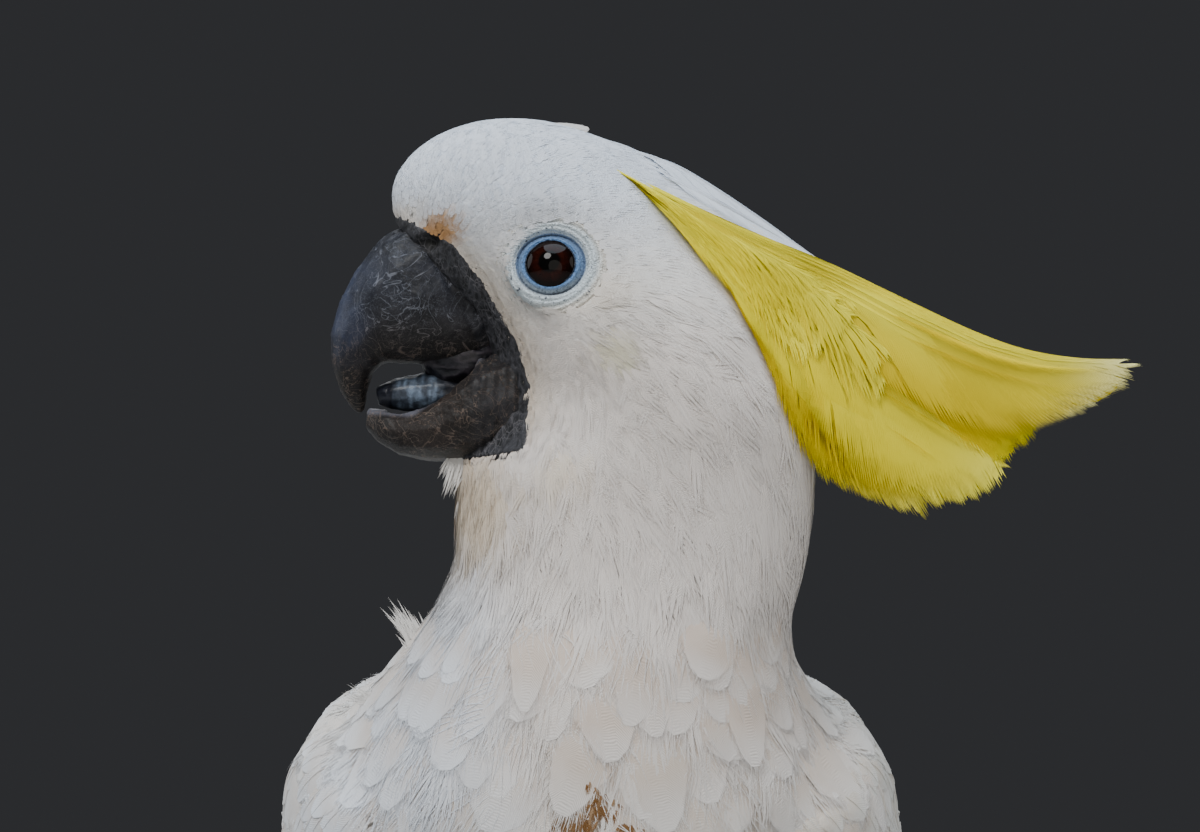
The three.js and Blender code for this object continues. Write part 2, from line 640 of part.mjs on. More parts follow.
bird.add(buildBody());
for (const [name, side] of Object.entries(SIDES)) bird.add(buildLeg(name, side));

const box = new THREE.Box3().setFromObject(bird, true);
const middle = box.getCenter(new THREE.Vector3());
bird.position.set(-middle.x, -middle.y, -box.min.z);

export default bird;
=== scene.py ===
"""A sulphur-crested cockatoo, life size: skin, feathers, bill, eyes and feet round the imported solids.

The feathers are meshes. Each is a rachis with barbs to both sides, laid on the body along the lie of the plumage. Its
control points are found on the body's surface, so that it hugs the form whatever its length.
"""

import math

import bmesh
import bpy
import numpy as np
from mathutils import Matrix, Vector, noise
from mathutils.bvhtree import BVHTree


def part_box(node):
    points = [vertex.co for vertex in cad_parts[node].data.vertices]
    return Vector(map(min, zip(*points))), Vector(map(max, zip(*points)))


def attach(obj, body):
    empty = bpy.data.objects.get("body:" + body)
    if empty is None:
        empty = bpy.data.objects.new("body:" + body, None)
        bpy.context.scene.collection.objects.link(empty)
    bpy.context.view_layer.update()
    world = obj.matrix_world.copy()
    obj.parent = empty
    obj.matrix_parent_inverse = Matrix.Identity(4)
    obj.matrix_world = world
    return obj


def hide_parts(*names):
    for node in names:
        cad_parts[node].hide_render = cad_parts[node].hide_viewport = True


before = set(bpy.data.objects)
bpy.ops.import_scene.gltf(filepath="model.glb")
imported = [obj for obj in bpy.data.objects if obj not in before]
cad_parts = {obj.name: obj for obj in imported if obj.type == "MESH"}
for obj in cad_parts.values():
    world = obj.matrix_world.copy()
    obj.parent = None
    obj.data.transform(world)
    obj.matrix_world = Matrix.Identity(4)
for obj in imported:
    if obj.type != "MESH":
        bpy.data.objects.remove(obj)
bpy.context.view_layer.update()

MM = 0.001
RNG = np.random.default_rng(11)
SIDES = {"left": 1, "right": -1}
EYE_SIDES = {"left": -1, "right": 1}

WINGS = [f"wing_{side}_{part}" for side in SIDES for part in ("coverts", "secondaries", "primaries")]
TAIL = ["tail_right", "tail_middle", "tail_left"]
THIGHS = [f"leg_{side}_thigh" for side in SIDES]
CREST = ["crest_white", "crest_upper", "crest_middle", "crest_lower"]
BILL = ["bill_upper", "bill_lower", "tongue"]
FLESH = ["head", "neck", "trunk", *THIGHS, *WINGS, *TAIL]
TOES = ["front_inner", "front_outer", "back_outer", "back_inner"]

# ------------------------------------------------------------------ places, measured from the head's centre


def centre(node):
    low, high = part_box(node)
    return np.array((low + high) / 2)


EYE_BACK, EYE_UP = -7.9 * MM, 31.7 * MM  # the eyes' place from the head's centre
HEAD = (centre("eye_left") + centre("eye_right")) / 2 - np.array([EYE_BACK, 0, EYE_UP])
EYE_LOOK = np.array([-0.12, 1, 0.24]) / np.linalg.norm([-0.12, 1, 0.24])
EYE_RADIUS = 7.6 * MM


def from_head(points):
    """Points in millimetres from the head's centre: x to the crest, y to the tail, z up."""
    return (np.asarray(points) - HEAD) / MM


def at_head(x, y, z):
    return HEAD + np.array([x, y, z]) * MM


# ------------------------------------------------------------------ small mathematics


def unit(v):
    v = np.asarray(v, float)
    return v / np.maximum(np.linalg.norm(v, axis=-1, keepdims=True), 1e-12)


def ramp(value, low, high):
    """0 below low, 1 above high, smooth between; low may be the greater."""
    t = np.clip((np.asarray(value, float) - low) / (high - low), 0, 1)
    return t * t * (3 - 2 * t)


def mix(a, b, t):
    """Part of the way t from a to b. Where a or b is a colour or a place, t has one number for each."""
    a, b, t = (np.asarray(value, float) for value in (a, b, t))
    if max(a.ndim, b.ndim) > t.ndim or (a.shape == (3,) and t.shape != (3,)):
        t = t[..., None]
    return a + (b - a) * t


def in_plane(v, normal):
    """The unit part of v that lies square to normal."""
    return unit(v - (v * normal).sum(-1, keepdims=True) * normal)


def turned(v, axis, angle):
    angle = np.asarray(angle)[..., None]
    return v * np.cos(angle) + np.cross(axis, v) * np.sin(angle) + axis * (axis * v).sum(-1, keepdims=True) * (
        1 - np.cos(angle)
    )


# ------------------------------------------------------------------ meshes


def mesh_arrays(obj):
    mesh = obj.data
    verts = np.empty(len(mesh.vertices) * 3)
    mesh.vertices.foreach_get("co", verts)
    mesh.calc_loop_triangles()
    tris = np.empty(len(mesh.loop_triangles) * 3, int)
    mesh.loop_triangles.foreach_get("vertices", tris)
    return verts.reshape(-1, 3), tris.reshape(-1, 3)


def make_object(name, verts, faces, material=None, tint=None, bake_uv=None, smooth=True):
    """An object from arrays. faces is (n, 3) or (n, 4); tint is a colour and bake_uv a place for each vertex."""
    faces = np.asarray(faces)
    corners = faces.shape[1]
    mesh = bpy.data.meshes.new(name)
    mesh.vertices.add(len(verts))
    mesh.vertices.foreach_set("co", np.asarray(verts, np.float32).ravel())
    mesh.loops.add(faces.size)
    mesh.loops.foreach_set("vertex_index", faces.ravel().astype(np.int32))
    mesh.polygons.add(len(faces))
    mesh.polygons.foreach_set("loop_start", np.arange(0, faces.size, corners, dtype=np.int32))
    mesh.polygons.foreach_set("use_smooth", np.full(len(faces), smooth))
    mesh.update(calc_edges=True)
    mesh.validate()
    if tint is not None:
        set_tint(mesh, tint)
    if bake_uv is not None:
        layer = mesh.uv_layers.new(name="OFBake")
        layer.data.foreach_set("uv", np.asarray(bake_uv, np.float32)[faces.ravel()].ravel())
    obj = bpy.data.objects.new(name, mesh)
    bpy.context.scene.collection.objects.link(obj)
    if material:
        mesh.materials.append(material)
    return obj


def set_tint(mesh, colours):
    attribute = mesh.color_attributes.new(name="tint", type="FLOAT_COLOR", domain="POINT")
    rgba = np.ones((len(colours), 4), np.float32)
    rgba[:, :3] = colours
    attribute.data.foreach_set("color", rgba.ravel())


def union_of(nodes):
    """The triangles of several CAD nodes together, and the name of the node of each triangle."""
    verts, tris, owner = [], [], []
    for node in nodes:
        v, t = mesh_arrays(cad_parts[node])
        tris.append(t + sum(map(len, verts)))
        verts.append(v)
        owner += [node] * len(t)
    return np.concatenate(verts), np.concatenate(tris), np.array(owner)


def modified(obj, *steps):
    """obj with modifiers put on and applied, each given as (type, {setting: value})."""
    for kind, settings in steps:
        modifier = obj.modifiers.new(kind, kind)
        for key, value in settings.items():
            setattr(modifier, key, value)
    evaluated = obj.evaluated_get(bpy.context.evaluated_depsgraph_get())
    mesh = bpy.data.meshes.new_from_object(evaluated)
    obj.modifiers.clear()
    obj.data = mesh
    return obj


def remesh_step(voxel):
    return ("REMESH", {"mode": "VOXEL", "voxel_size": voxel, "use_smooth_shade": True})


def smooth_step(times, factor=0.5):
    return ("SMOOTH", {"iterations": times, "factor": factor})


def refined(name, nodes, voxel, times, subdivide=0):
    """The CAD nodes again as one finely meshed, smooth object."""
    verts, tris, _ = union_of(nodes)
    steps = [remesh_step(voxel), smooth_step(times)]
    if subdivide:
        steps.append(("SUBSURF", {"levels": subdivide, "render_levels": subdivide}))
    return modified(make_object(name, verts, tris), *steps)


def vertex_normals(obj):
    normals = np.empty(len(obj.data.vertices) * 3)
    obj.data.vertices.foreach_get("normal", normals)
    return normals.reshape(-1, 3)


def place_vertices(obj, verts):
    obj.data.vertices.foreach_set("co", np.asarray(verts, np.float32).ravel())
    obj.data.update()


class Surface:
    """Nearest points of a mesh, with smooth normals."""

    def __init__(self, obj):
        self.verts, self.tris = mesh_arrays(obj)
        self.tree = BVHTree.FromPolygons(self.verts.tolist(), self.tris.tolist())
        self.normals = vertex_normals(obj)

    def nearest(self, points):
        """(places, normals, triangle numbers) nearest to points of any shape (..., 3)."""
        flat = np.asarray(points).reshape(-1, 3)
        hits = [self.tree.find_nearest(p) for p in flat.tolist()]
        place = np.array([hit[0] for hit in hits])
        face = np.array([hit[2] for hit in hits])
        normal = unit((self.weights(place, face)[..., None] * self.normals[self.tris[face]]).sum(1))
        shape = np.shape(points)
        return place.reshape(shape), normal.reshape(shape), face.reshape(shape[:-1])

    def weights(self, place, face):
        """How much of each corner of its triangle a place has."""
        a, b, c = (self.verts[self.tris[face, i]] for i in range(3))
        whole = np.cross(b - a, c - a)
        size = np.maximum((whole**2).sum(-1), 1e-20)
        wb = (np.cross(place - a, c - a) * whole).sum(-1) / size
        wc = (np.cross(b - a, place - a) * whole).sum(-1) / size
        return np.stack([1 - wb - wc, wb, wc], -1)

    def scattered(self, spacing, keep, tries):
        """Places at least spacing apart, from tries random ones. keep(places, faces) gives which may stay."""
        a, b, c = (self.verts[self.tris[:, i]] for i in range(3))
        area = np.linalg.norm(np.cross(b - a, c - a), axis=1)
        face = RNG.choice(len(area), size=tries, p=area / area.sum())
        u, v = RNG.random((2, tries, 1))
        u, v = np.where(u + v > 1, 1 - u, u), np.where(u + v > 1, 1 - v, v)
        place = a[face] + (b[face] - a[face]) * u + (c[face] - a[face]) * v
        allowed = keep(place, face)
        place, face = place[allowed], face[allowed]
        gap = np.broadcast_to(spacing(place) if callable(spacing) else spacing, len(place))
        cell = float(gap.max())
        cells = np.floor(place / cell).astype(int).tolist()
        around = [(i, j, k) for i in (-1, 0, 1) for j in (-1, 0, 1) for k in (-1, 0, 1)]
        taken, chosen = {}, []
        for n, (p, (i, j, k), reach) in enumerate(zip(place.tolist(), cells, (gap**2).tolist())):
            near = (q for di, dj, dk in around for q in taken.get((i + di, j + dj, k + dk), ()))
            if any((p[0] - q[0]) ** 2 + (p[1] - q[1]) ** 2 + (p[2] - q[2]) ** 2 < reach for q in near):
                continue
            taken.setdefault((i, j, k), []).append(p)
            chosen.append(n)
        return place[chosen], face[chosen]


# ------------------------------------------------------------------ materials


def set_inputs(shader, values):
    for key, value in values.items():
        shader.inputs[key].default_value = value


class Paint:
    """Short forms for the nodes that a procedural material is made of."""

    def __init__(self, name, values):
        self.material = bpy.data.materials.new(name)
        self.material.use_nodes = True
        self.nodes = self.material.node_tree.nodes
        self.shader = self.nodes["Principled BSDF"]
        set_inputs(self.shader, values)
        self.place = self.nodes.new("ShaderNodeTexCoord").outputs["Object"]

    def link(self, source, target):
        self.material.node_tree.links.new(source, target)

    def node(self, kind, settings=None, inputs=None):
        made = self.nodes.new(kind)
        for key, value in (settings or {}).items():
            setattr(made, key, value)
        for key, value in (inputs or {}).items():
            if isinstance(value, bpy.types.NodeSocket):
                self.link(value, made.inputs[key])
            else:
                made.inputs[key].default_value = value
        return made

    def tint(self):
        return self.node("ShaderNodeAttribute", {"attribute_name": "tint"}).outputs["Color"]

    def noise(self, scale, detail=3.0, distortion=0.0, vector=None, roughness=0.5):
        inputs = {"Scale": scale, "Detail": detail, "Distortion": distortion, "Roughness": roughness}
        inputs["Vector"] = vector or self.place
        return self.node("ShaderNodeTexNoise", inputs=inputs).outputs["Fac"]

    def cells(self, scale, feature="DISTANCE_TO_EDGE", vector=None):
        inputs = {"Scale": scale, "Vector": vector or self.place}
        return self.node("ShaderNodeTexVoronoi", {"feature": feature}, inputs).outputs["Distance"]

    def maths(self, operation, a, b=0.0, c=0.0):
        inputs = {0: a, 1: b}
        if operation in ("MULTIPLY_ADD", "SMOOTH_MIN", "WRAP", "COMPARE"):
            inputs[2] = c
        return self.node("ShaderNodeMath", {"operation": operation}, inputs).outputs[0]

    def span(self, value, low, high, to_low=0.0, to_high=1.0):
        """value from low..high taken smoothly to to_low..to_high."""
        inputs = {"Value": value, "From Min": low, "From Max": high, "To Min": to_low, "To Max": to_high}
        return self.node("ShaderNodeMapRange", {"interpolation_type": "SMOOTHSTEP"}, inputs).outputs["Result"]

    def contour(self, value, level, width):
        """1 on the thin line where a value passes a level."""
        apart = self.maths("ABSOLUTE", self.maths("SUBTRACT", value, level))
        return self.span(apart, width, 0.0)

    def blend(self, a, b, factor):
        made = self.node("ShaderNodeMix", {"data_type": "RGBA"})
        for socket, value in (("Factor", factor), ("A", a), ("B", b)):
            target = next(i for i in made.inputs if i.name == socket and i.type in ("RGBA", "VALUE"))
            if socket != "Factor":
                target = next(i for i in made.inputs if i.name == socket and i.type == "RGBA")
            if isinstance(value, bpy.types.NodeSocket):
                self.link(value, target)
            else:
                target.default_value = (*value, 1.0) if socket != "Factor" else value
        return next(o for o in made.outputs if o.type == "RGBA")

    def axis(self, name):
        return self.node("ShaderNodeSeparateXYZ", inputs={"Vector": self.place}).outputs[name]

    def colour(self, source):
        self.link(source, self.shader.inputs["Base Color"])

    def bump(self, height, distance, strength=1.0):
        inputs = {"Height": height, "Distance": distance, "Strength": strength}
        self.link(self.node("ShaderNodeBump", inputs=inputs).outputs["Normal"], self.shader.inputs["Normal"])


BARB_PITCH = 0.62  # between two barbs, in mm
BARB_SLANT = 1.15  # how far a barb runs along the shaft for each mm it runs out


def feather_material(name, sheen, gloss):
    """The tint of each feather, with fine barbs slanting out from its shaft."""
    paint = Paint(name, {"Roughness": 0.7, "Sheen Weight": sheen, "Sheen Roughness": 0.5, "Specular IOR Level": gloss})
    barb = paint.node("ShaderNodeAttribute", {"attribute_name": "barb"}).outputs["Vector"]
    parts = paint.node("ShaderNodeSeparateXYZ", inputs={"Vector": barb}).outputs
    phase = paint.maths("MULTIPLY_ADD", parts["Y"], -BARB_SLANT, parts["X"])
    uneven = paint.noise(420.0, 2.0)
    phase = paint.maths("MULTIPLY_ADD", uneven, 1.1, phase)
    wave = paint.maths("SINE", paint.maths("MULTIPLY", phase, 2 * math.pi / BARB_PITCH))
    strength = paint.span(paint.noise(120.0, 3.0), 0.35, 0.6, 0.25, 1.0)
    wave = paint.maths("MULTIPLY", wave, strength)
    lines = paint.span(wave, -1.0, 1.0, 0.97, 1.01)
    each = paint.span(parts["Z"], 0.0, 1.0, 0.97, 1.02)
    shade = paint.maths("MULTIPLY", paint.maths("MULTIPLY", lines, each), paint.span(paint.noise(90.0, 3.0), 0.3, 0.7, 0.96, 1.02))
    paint.colour(paint.node("ShaderNodeVectorMath", {"operation": "SCALE"}, {0: paint.tint(), "Scale": shade}).outputs[0])
    paint.bump(wave, 0.00005, 0.4)
    return paint.material


def skin_material():
    paint = Paint("skin", {"Roughness": 0.8, "Specular IOR Level": 0.2})
    mottle = paint.span(paint.noise(500.0, 4.0), 0.3, 0.7, 0.9, 1.05)
    paint.colour(paint.node("ShaderNodeVectorMath", {"operation": "SCALE"}, {0: paint.tint(), "Scale": mottle}).outputs[0])
    paint.bump(paint.cells(900.0), 0.0003, 0.6)
    return paint.material


def lid_material():
    """Bare skin round the eyes: finely pebbled, darker in its folds as painted shade, with dark specks."""
    paint = Paint("eye_ring_skin", {"Roughness": 0.48, "Specular IOR Level": 0.45})
    pebbles = paint.cells(1500.0)
    creases = paint.noise(900.0, 5.0, 1.2)
    # Painted shade: the skin is darker where the creases, which also give the bump, run low.
    shade = paint.span(creases, 0.36, 0.46, 0.72, 1.0)
    specks = paint.span(paint.noise(1100.0, 2.0), 0.64, 0.72)
    tinted = paint.node("ShaderNodeVectorMath", {"operation": "SCALE"}, {0: paint.tint(), "Scale": shade}).outputs[0]
    paint.colour(paint.blend(tinted, (0.10, 0.12, 0.15), specks))
    paint.bump(paint.maths("ADD", paint.span(pebbles, 0.0, 0.25), creases), 0.00025, 0.7)
    return paint.material


def bill_material():
    """Dry horn in the colours of its tint, with pale wandering lines where it flakes, browner low down."""
    paint = Paint("bill_horn", {"Roughness": 0.5, "Specular IOR Level": 0.35})
    upper = paint.span(paint.axis("Z"), HEAD[2] + 12 * MM, HEAD[2] + 24 * MM)
    cloud = paint.span(paint.noise(140.0, 5.0, 0.6), 0.35, 0.65, 0.62, 1.3)
    base = paint.node("ShaderNodeVectorMath", {"operation": "SCALE"}, {0: paint.tint(), "Scale": cloud}).outputs[0]
    flakes = paint.maths(
        "MAXIMUM",
        paint.contour(paint.noise(80.0, 3.0, 1.8), 0.46, 0.008),
        paint.contour(paint.noise(48.0, 4.0, 2.6), 0.55, 0.007),
    )
    second = paint.contour(paint.noise(170.0, 3.0, 2.4), 0.55, 0.014)
    worn = paint.span(paint.noise(60.0, 2.0), 0.46, 0.60)
    fibres = paint.contour(paint.noise(420.0, 4.0, 3.0), 0.5, 0.02)
    low_band = paint.span(paint.axis("Z"), HEAD[2] + 20 * MM, HEAD[2] + 14 * MM)
    tangled = paint.maths("MULTIPLY", second, paint.maths("MAXIMUM", worn, low_band))
    lines = paint.maths("MAXIMUM", paint.maths("MULTIPLY", flakes, 0.8), tangled)
    all_lines = paint.maths("MAXIMUM", lines, paint.maths("MULTIPLY", fibres, 0.38))
    pale = paint.blend((0.26, 0.19, 0.15), (0.28, 0.30, 0.36), upper)
    paint.colour(paint.blend(base, pale, paint.maths("MULTIPLY", all_lines, 0.5)))
    paint.bump(paint.maths("ADD", paint.maths("MULTIPLY", all_lines, 0.5), paint.noise(700.0, 4.0)), 0.0003, 0.7)
    return paint.material


def bare_material(name, roughness, crackle=0.0):
    """Skin without feathers, in the colours of its tint, with a net of pale dry creases if crackle is given."""
    paint = Paint(name, {"Roughness": roughness, "Specular IOR Level": 0.4})
    grain = paint.noise(900.0, 4.0, 0.6)
    shade = paint.span(grain, 0.3, 0.7, 0.7, 1.35)
    shaded = paint.node("ShaderNodeVectorMath", {"operation": "SCALE"}, {0: paint.tint(), "Scale": shade}).outputs[0]
    height = grain
    if crackle:
        bent = paint.node("ShaderNodeMapping", inputs={"Vector": paint.place, "Scale": (1.0, 1.0, 0.55)}).outputs[0]
        net = paint.span(paint.cells(820.0, vector=bent), 0.09, 0.0)
        threads = paint.contour(paint.noise(330.0, 4.0, 2.5, vector=bent), 0.5, 0.02)
        patchy = paint.span(paint.noise(160.0, 3.0), 0.4, 0.62, 0.25, 1.0)
        pale = paint.maths("MULTIPLY", paint.maths("MAXIMUM", net, threads), paint.maths("MULTIPLY", patchy, crackle))
        shaded = paint.blend(shaded, (0.17, 0.165, 0.18), pale)
        height = paint.maths("ADD", grain, paint.maths("MULTIPLY", pale, 0.8))
    paint.colour(shaded)
    paint.bump(height, 0.0003, 0.7)
    return paint.material


def claw_material():
    paint = Paint("claw_horn", {"Roughness": 0.3, "Specular IOR Level": 0.5})
    streaks = paint.noise(350.0, 4.0, 0.5)
    paint.colour(paint.blend((0.018, 0.018, 0.020), (0.075, 0.068, 0.062), paint.span(streaks, 0.45, 0.75)))
    paint.bump(streaks, 0.0002, 0.5)
    return paint.material


def eye_material():
    paint = Paint("eye", {"Roughness": 0.06, "Specular IOR Level": 0.16, "Coat Weight": 0.05, "Coat Roughness": 0.02})
    streaks = paint.span(paint.noise(900.0, 3.0, 1.0), 0.3, 0.7, 0.75, 1.25)
    paint.colour(paint.node("ShaderNodeVectorMath", {"operation": "SCALE"}, {0: paint.tint(), "Scale": streaks}).outputs[0])
    return paint.material


FEATHERS = feather_material("feathers", 0.12, 0.2)
YELLOW_FEATHERS = feather_material("yellow_feathers", 0.0, 0.0)
SKIN = skin_material()
LIDS = lid_material()
BILL_HORN = bill_material()
BARE_SKIN = bare_material("bare_skin", 0.6, crackle=0.6)
WET = bare_material("wet_flesh", 0.34)
SCALES = bare_material("scaly_skin", 0.6)
CLAW_HORN = claw_material()

# ------------------------------------------------------------------ the body's surface, inside and out

OUTER_VOXEL = 1.7 * MM


def body_surface():
    """One smooth closed surface over the flesh and the white forecrest, closed at the roots of bill and crest."""
    others = ["cere", *BILL, *CREST, *(f"eye_{s}" for s in SIDES), *(f"eye_ring_{s}" for s in SIDES)]
    verts, tris, owner = union_of(FLESH + others)
    tree = BVHTree.FromPolygons(verts.tolist(), tris.tolist())
    body = modified(make_object("body_surface", verts, tris), remesh_step(OUTER_VOXEL))
    mesh = bmesh.new()
    mesh.from_mesh(body.data)
    mesh.faces.ensure_lookup_table()
    opened = set(BILL + CREST[1:])
    cut = [f for f in mesh.faces if owner[tree.find_nearest(f.calc_center_median())[2]] in opened]
    bmesh.ops.delete(mesh, geom=cut, context="FACES")
    bmesh.ops.holes_fill(mesh, edges=mesh.edges, sides=0)
    mesh.to_mesh(body.data)
    mesh.free()
    body = modified(body, remesh_step(OUTER_VOXEL), smooth_step(14))
    return body


body = body_surface()
OUTER = Surface(body)


def node_tree(nodes):
    verts, tris, owner = union_of(nodes)
    return BVHTree.FromPolygons(verts.tolist(), tris.tolist()), owner


NODE_TREE, NODE_OWNER = node_tree(FLESH + ["cere", *BILL, *CREST])


def owners(points):
    """The name of the CAD node nearest to each point."""
    return NODE_OWNER[[NODE_TREE.find_nearest(p)[2] for p in np.asarray(points).tolist()]]


def eye_distance(points):
    """How far points are from an eye's middle, 1 on the edge of its bare ring: a little wider than high."""
    p = from_head(points)
    return np.hypot((p[:, 0] - EYE_BACK / MM) / 11.6, (p[:, 2] - EYE_UP / MM - 1.0) / 10.6)


# ------------------------------------------------------------------ the lie, depth and colour of the plumage

# The spine from the neck's top to the tail's root: x, y, z in mm from the head's centre, and its slope in degrees.
SPINE = np.array(
    [
        [9, 0, -3, 86],
        [8, 0, -31, 74],
        [2, 1, -52, 66],
        [0, 4, -71, 58],
        [0, 19, -92, 47],
        [0, 42, -111, 37],
        [0, 69, -126, 31],
        [0, 100, -140, 28],
        [0, 134, -153, 28],
        [0, 187, -172, 29],
    ],
    float,
)
LIE_FROM = np.array([-38.0, 0.0, 34.0])  # the feathers of the head sweep away from the top of the bill
WING_LIE = np.array([0.0, 0.86, -0.51])


def spine_lie(p):
    """The way down the spine beside points given from the head."""
    apart = np.linalg.norm(p[:, None, :] - SPINE[None, :, :3], axis=2)
    share = np.exp(-((apart - apart.min(1, keepdims=True)) / 14.0))
    slope = np.radians((share * SPINE[:, 3]).sum(1) / share.sum(1))
    return np.stack([np.zeros(len(p)), np.cos(slope), -np.sin(slope)], 1)


def lie(points, node):
    """The way the feathers point at each place, before it is laid in the surface."""
    p = from_head(points)
    away = unit((p - LIE_FROM) * [1.0, 0.4, 1.0])
    down = unit(away + np.outer(ramp(p[:, 2], 30, -10), [0.05, 0, -0.9]))
    flow = mix(down, spine_lie(p), ramp(p[:, 2], -8, -40))
    on_wing = np.char.startswith(node, "wing")
    outward = np.sign(p[:, 0]) * ramp(p[:, 1], 30, -5) * 0.25
    wing_flow = unit(WING_LIE + np.stack([outward, 0 * outward, -0.55 * ramp(p[:, 1], 45, -5)], 1))
    flow = np.where(on_wing[:, None], wing_flow, flow)
    on_thigh = np.char.endswith(node, "thigh")
    flow = np.where(on_thigh[:, None], unit([0, 0.28, -1.0]), flow)
    return unit(flow)


def coat_depth(points, node):
    """How deep the plumage lies over the skin, in metres."""
    p = from_head(points)
    depth = mix(0.15, 1.6, ramp(p[:, 2], -20, -60))
    depth = mix(depth, 3.6, ramp(p[:, 2], -50, -85))
    depth = mix(depth, 2.6, ramp(eye_distance(points), 0.97, 0.80))
    depth = mix(depth, 4.5, ramp(bare_margin(p), 0.6, -0.6))
    depth = np.where(np.char.startswith(node, "wing"), 2.0, depth)
    depth = np.where(np.char.startswith(node, "tail"), 0.8, depth)
    depth = np.where(np.char.endswith(node, "thigh"), 3.0, depth)
    return depth * MM


WHITE = np.array([0.86, 0.85, 0.83])
COOL = np.array([0.74, 0.81, 0.91])
CREAM = np.array([0.84, 0.76, 0.64])
TAN = np.array([0.60, 0.42, 0.26])
WARM = np.array([0.81, 0.745, 0.705])
FAINT_GREEN = np.array([0.78, 0.82, 0.76])
STAIN = np.array([0.24, 0.115, 0.035])
RUST = np.array([0.52, 0.28, 0.10])
GREENISH = np.array([0.70, 0.68, 0.42])
LEMON = np.array([0.90, 0.81, 0.05])
YELLOW = np.array([0.86, 0.70, 0.0])
DEEP_YELLOW = np.array([0.68, 0.49, 0.0])
OLIVE = np.array([0.62, 0.56, 0.0])
CREAM_YELLOW = np.array([0.97, 0.93, 0.42])
PALE_YELLOW = np.array([0.92, 0.85, 0.10])


def spot(p, x, z, wide, high):
    """1 in the middle of a soft oval on the bird as seen from the front, 0 outside it."""
    reach = np.hypot((p[:, 0] - x) / wide, (p[:, 2] - z) / high)
    return ramp(reach, 1.0, 0.25) * (p[:, 1] < 0)


def plumage_tint(points, node):
    """The colour of the feathers that root at each place, painted light and shade included."""
    p = from_head(points)
    high, front = p[:, 2], ramp(p[:, 1], 25, -10)
    # Bluish on the top of the head: painted cool light from above.
    colour = mix(WHITE, COOL, ramp(high, 26, 52))
    # Warm on the front of neck and breast: partly the plumage's own tone, partly painted shade.
    colour = mix(colour, WARM, ramp(high, 30, 8) * ramp(high, -112, -70) * front * 0.62)
    # Cool grey low on the breast towards the bill's side: painted shade.
    colour = mix(colour, COOL, ramp(p[:, 0], -10, -36) * ramp(high, -22, -55) * front * 0.7)
    colour = mix(colour, FAINT_GREEN, np.char.startswith(node, "wing_left") * 0.30)
    colour = mix(colour, COOL, np.char.startswith(node, "wing_right") * 0.35)
    margin = bare_margin(p)
    colour = mix(colour, CREAM, ramp(margin, 9, 0.5) * ramp(high, -12, 0) * 0.6)
    colour = mix(colour, RUST, ramp(np.hypot((p[:, 0] + 32) / 6.5, (high - 41) / 6), 1.1, 0.3) * 0.95)
    colour = mix(colour, GREENISH, spot(p, 9, 11, 8, 6) * 0.5)
    colour = mix(colour, CREAM, spot(p, 4, 26, 15, 8) * 0.45)
    colour = mix(colour, CREAM, spot(p, -5, -19, 9, 10) * 0.75)
    # Cream on the neck under the bill: partly the plumage's cream, partly painted shadow beneath the bill.
    return mix(colour, CREAM * [0.90, 0.84, 0.74], spot(p, -27, -26, 16, 21) * 0.8)


# ------------------------------------------------------------------ feathers


def catmull(s, rows):
    """Weights of the rows of control points for places s in 0..1 along a feather."""
    weights = np.zeros((len(s), rows))
    x = np.clip(s, 0, 1) * (rows - 1)
    first = np.minimum(x.astype(int), rows - 2)
    f = x - first
    basis = [
        -0.5 * f**3 + f**2 - 0.5 * f,
        1.5 * f**3 - 2.5 * f**2 + 1,
        -1.5 * f**3 + 2 * f**2 + 0.5 * f,
        0.5 * f**3 - 0.5 * f**2,
    ]
    index = np.arange(len(s))
    for step, amount in zip((-1, 0, 1, 2), basis):
        np.add.at(weights, (index, np.clip(first + step, 0, rows - 1)), amount)
    # past the tip, the last stretch runs straight on
    beyond = np.maximum(s - 1, 0) * (rows - 1)
    weights[:, -1] += beyond
    weights[:, -2] -= beyond
    return weights


class Shape:
    """Vertices of one feather in its own terms: s from root to tip, t from edge to edge, lift off the surface."""

    def __init__(self, rows):
        self.rows = rows
        self.s, self.t, self.lift, self.faces = [], [], [], []

    def point(self, s, t, lift=0.0):
        self.s.append(s)
        self.t.append(t)
        self.lift.append(lift)
        return len(self.s) - 1

    def strip(self, left, right):
        """Triangles between two rows of points of the same number, or that meet in one last point."""
        for k in range(len(left) - 1):
            a, b, c, d = left[k], right[k], right[k + 1], left[k + 1]
            self.faces.append((a, b, c))
            if c != d:
                self.faces.append((a, c, d))

    def finished(self):
        self.s, self.t, self.lift = map(np.array, (self.s, self.t, self.lift))
        self.faces = np.array(self.faces)
        t = self.t
        columns = np.stack([t * (t - 1) / 2, 1 - t**2, t * (t + 1) / 2], 1)
        self.weights = (catmull(self.s, self.rows)[:, :, None] * columns[:, None, :]).reshape(len(t), -1)
        return self


def rounded(u, blunt):
    """How far along the feather its end lies, at u of its half width: a round end."""
    return 1 - blunt * abs(u) ** 2.3


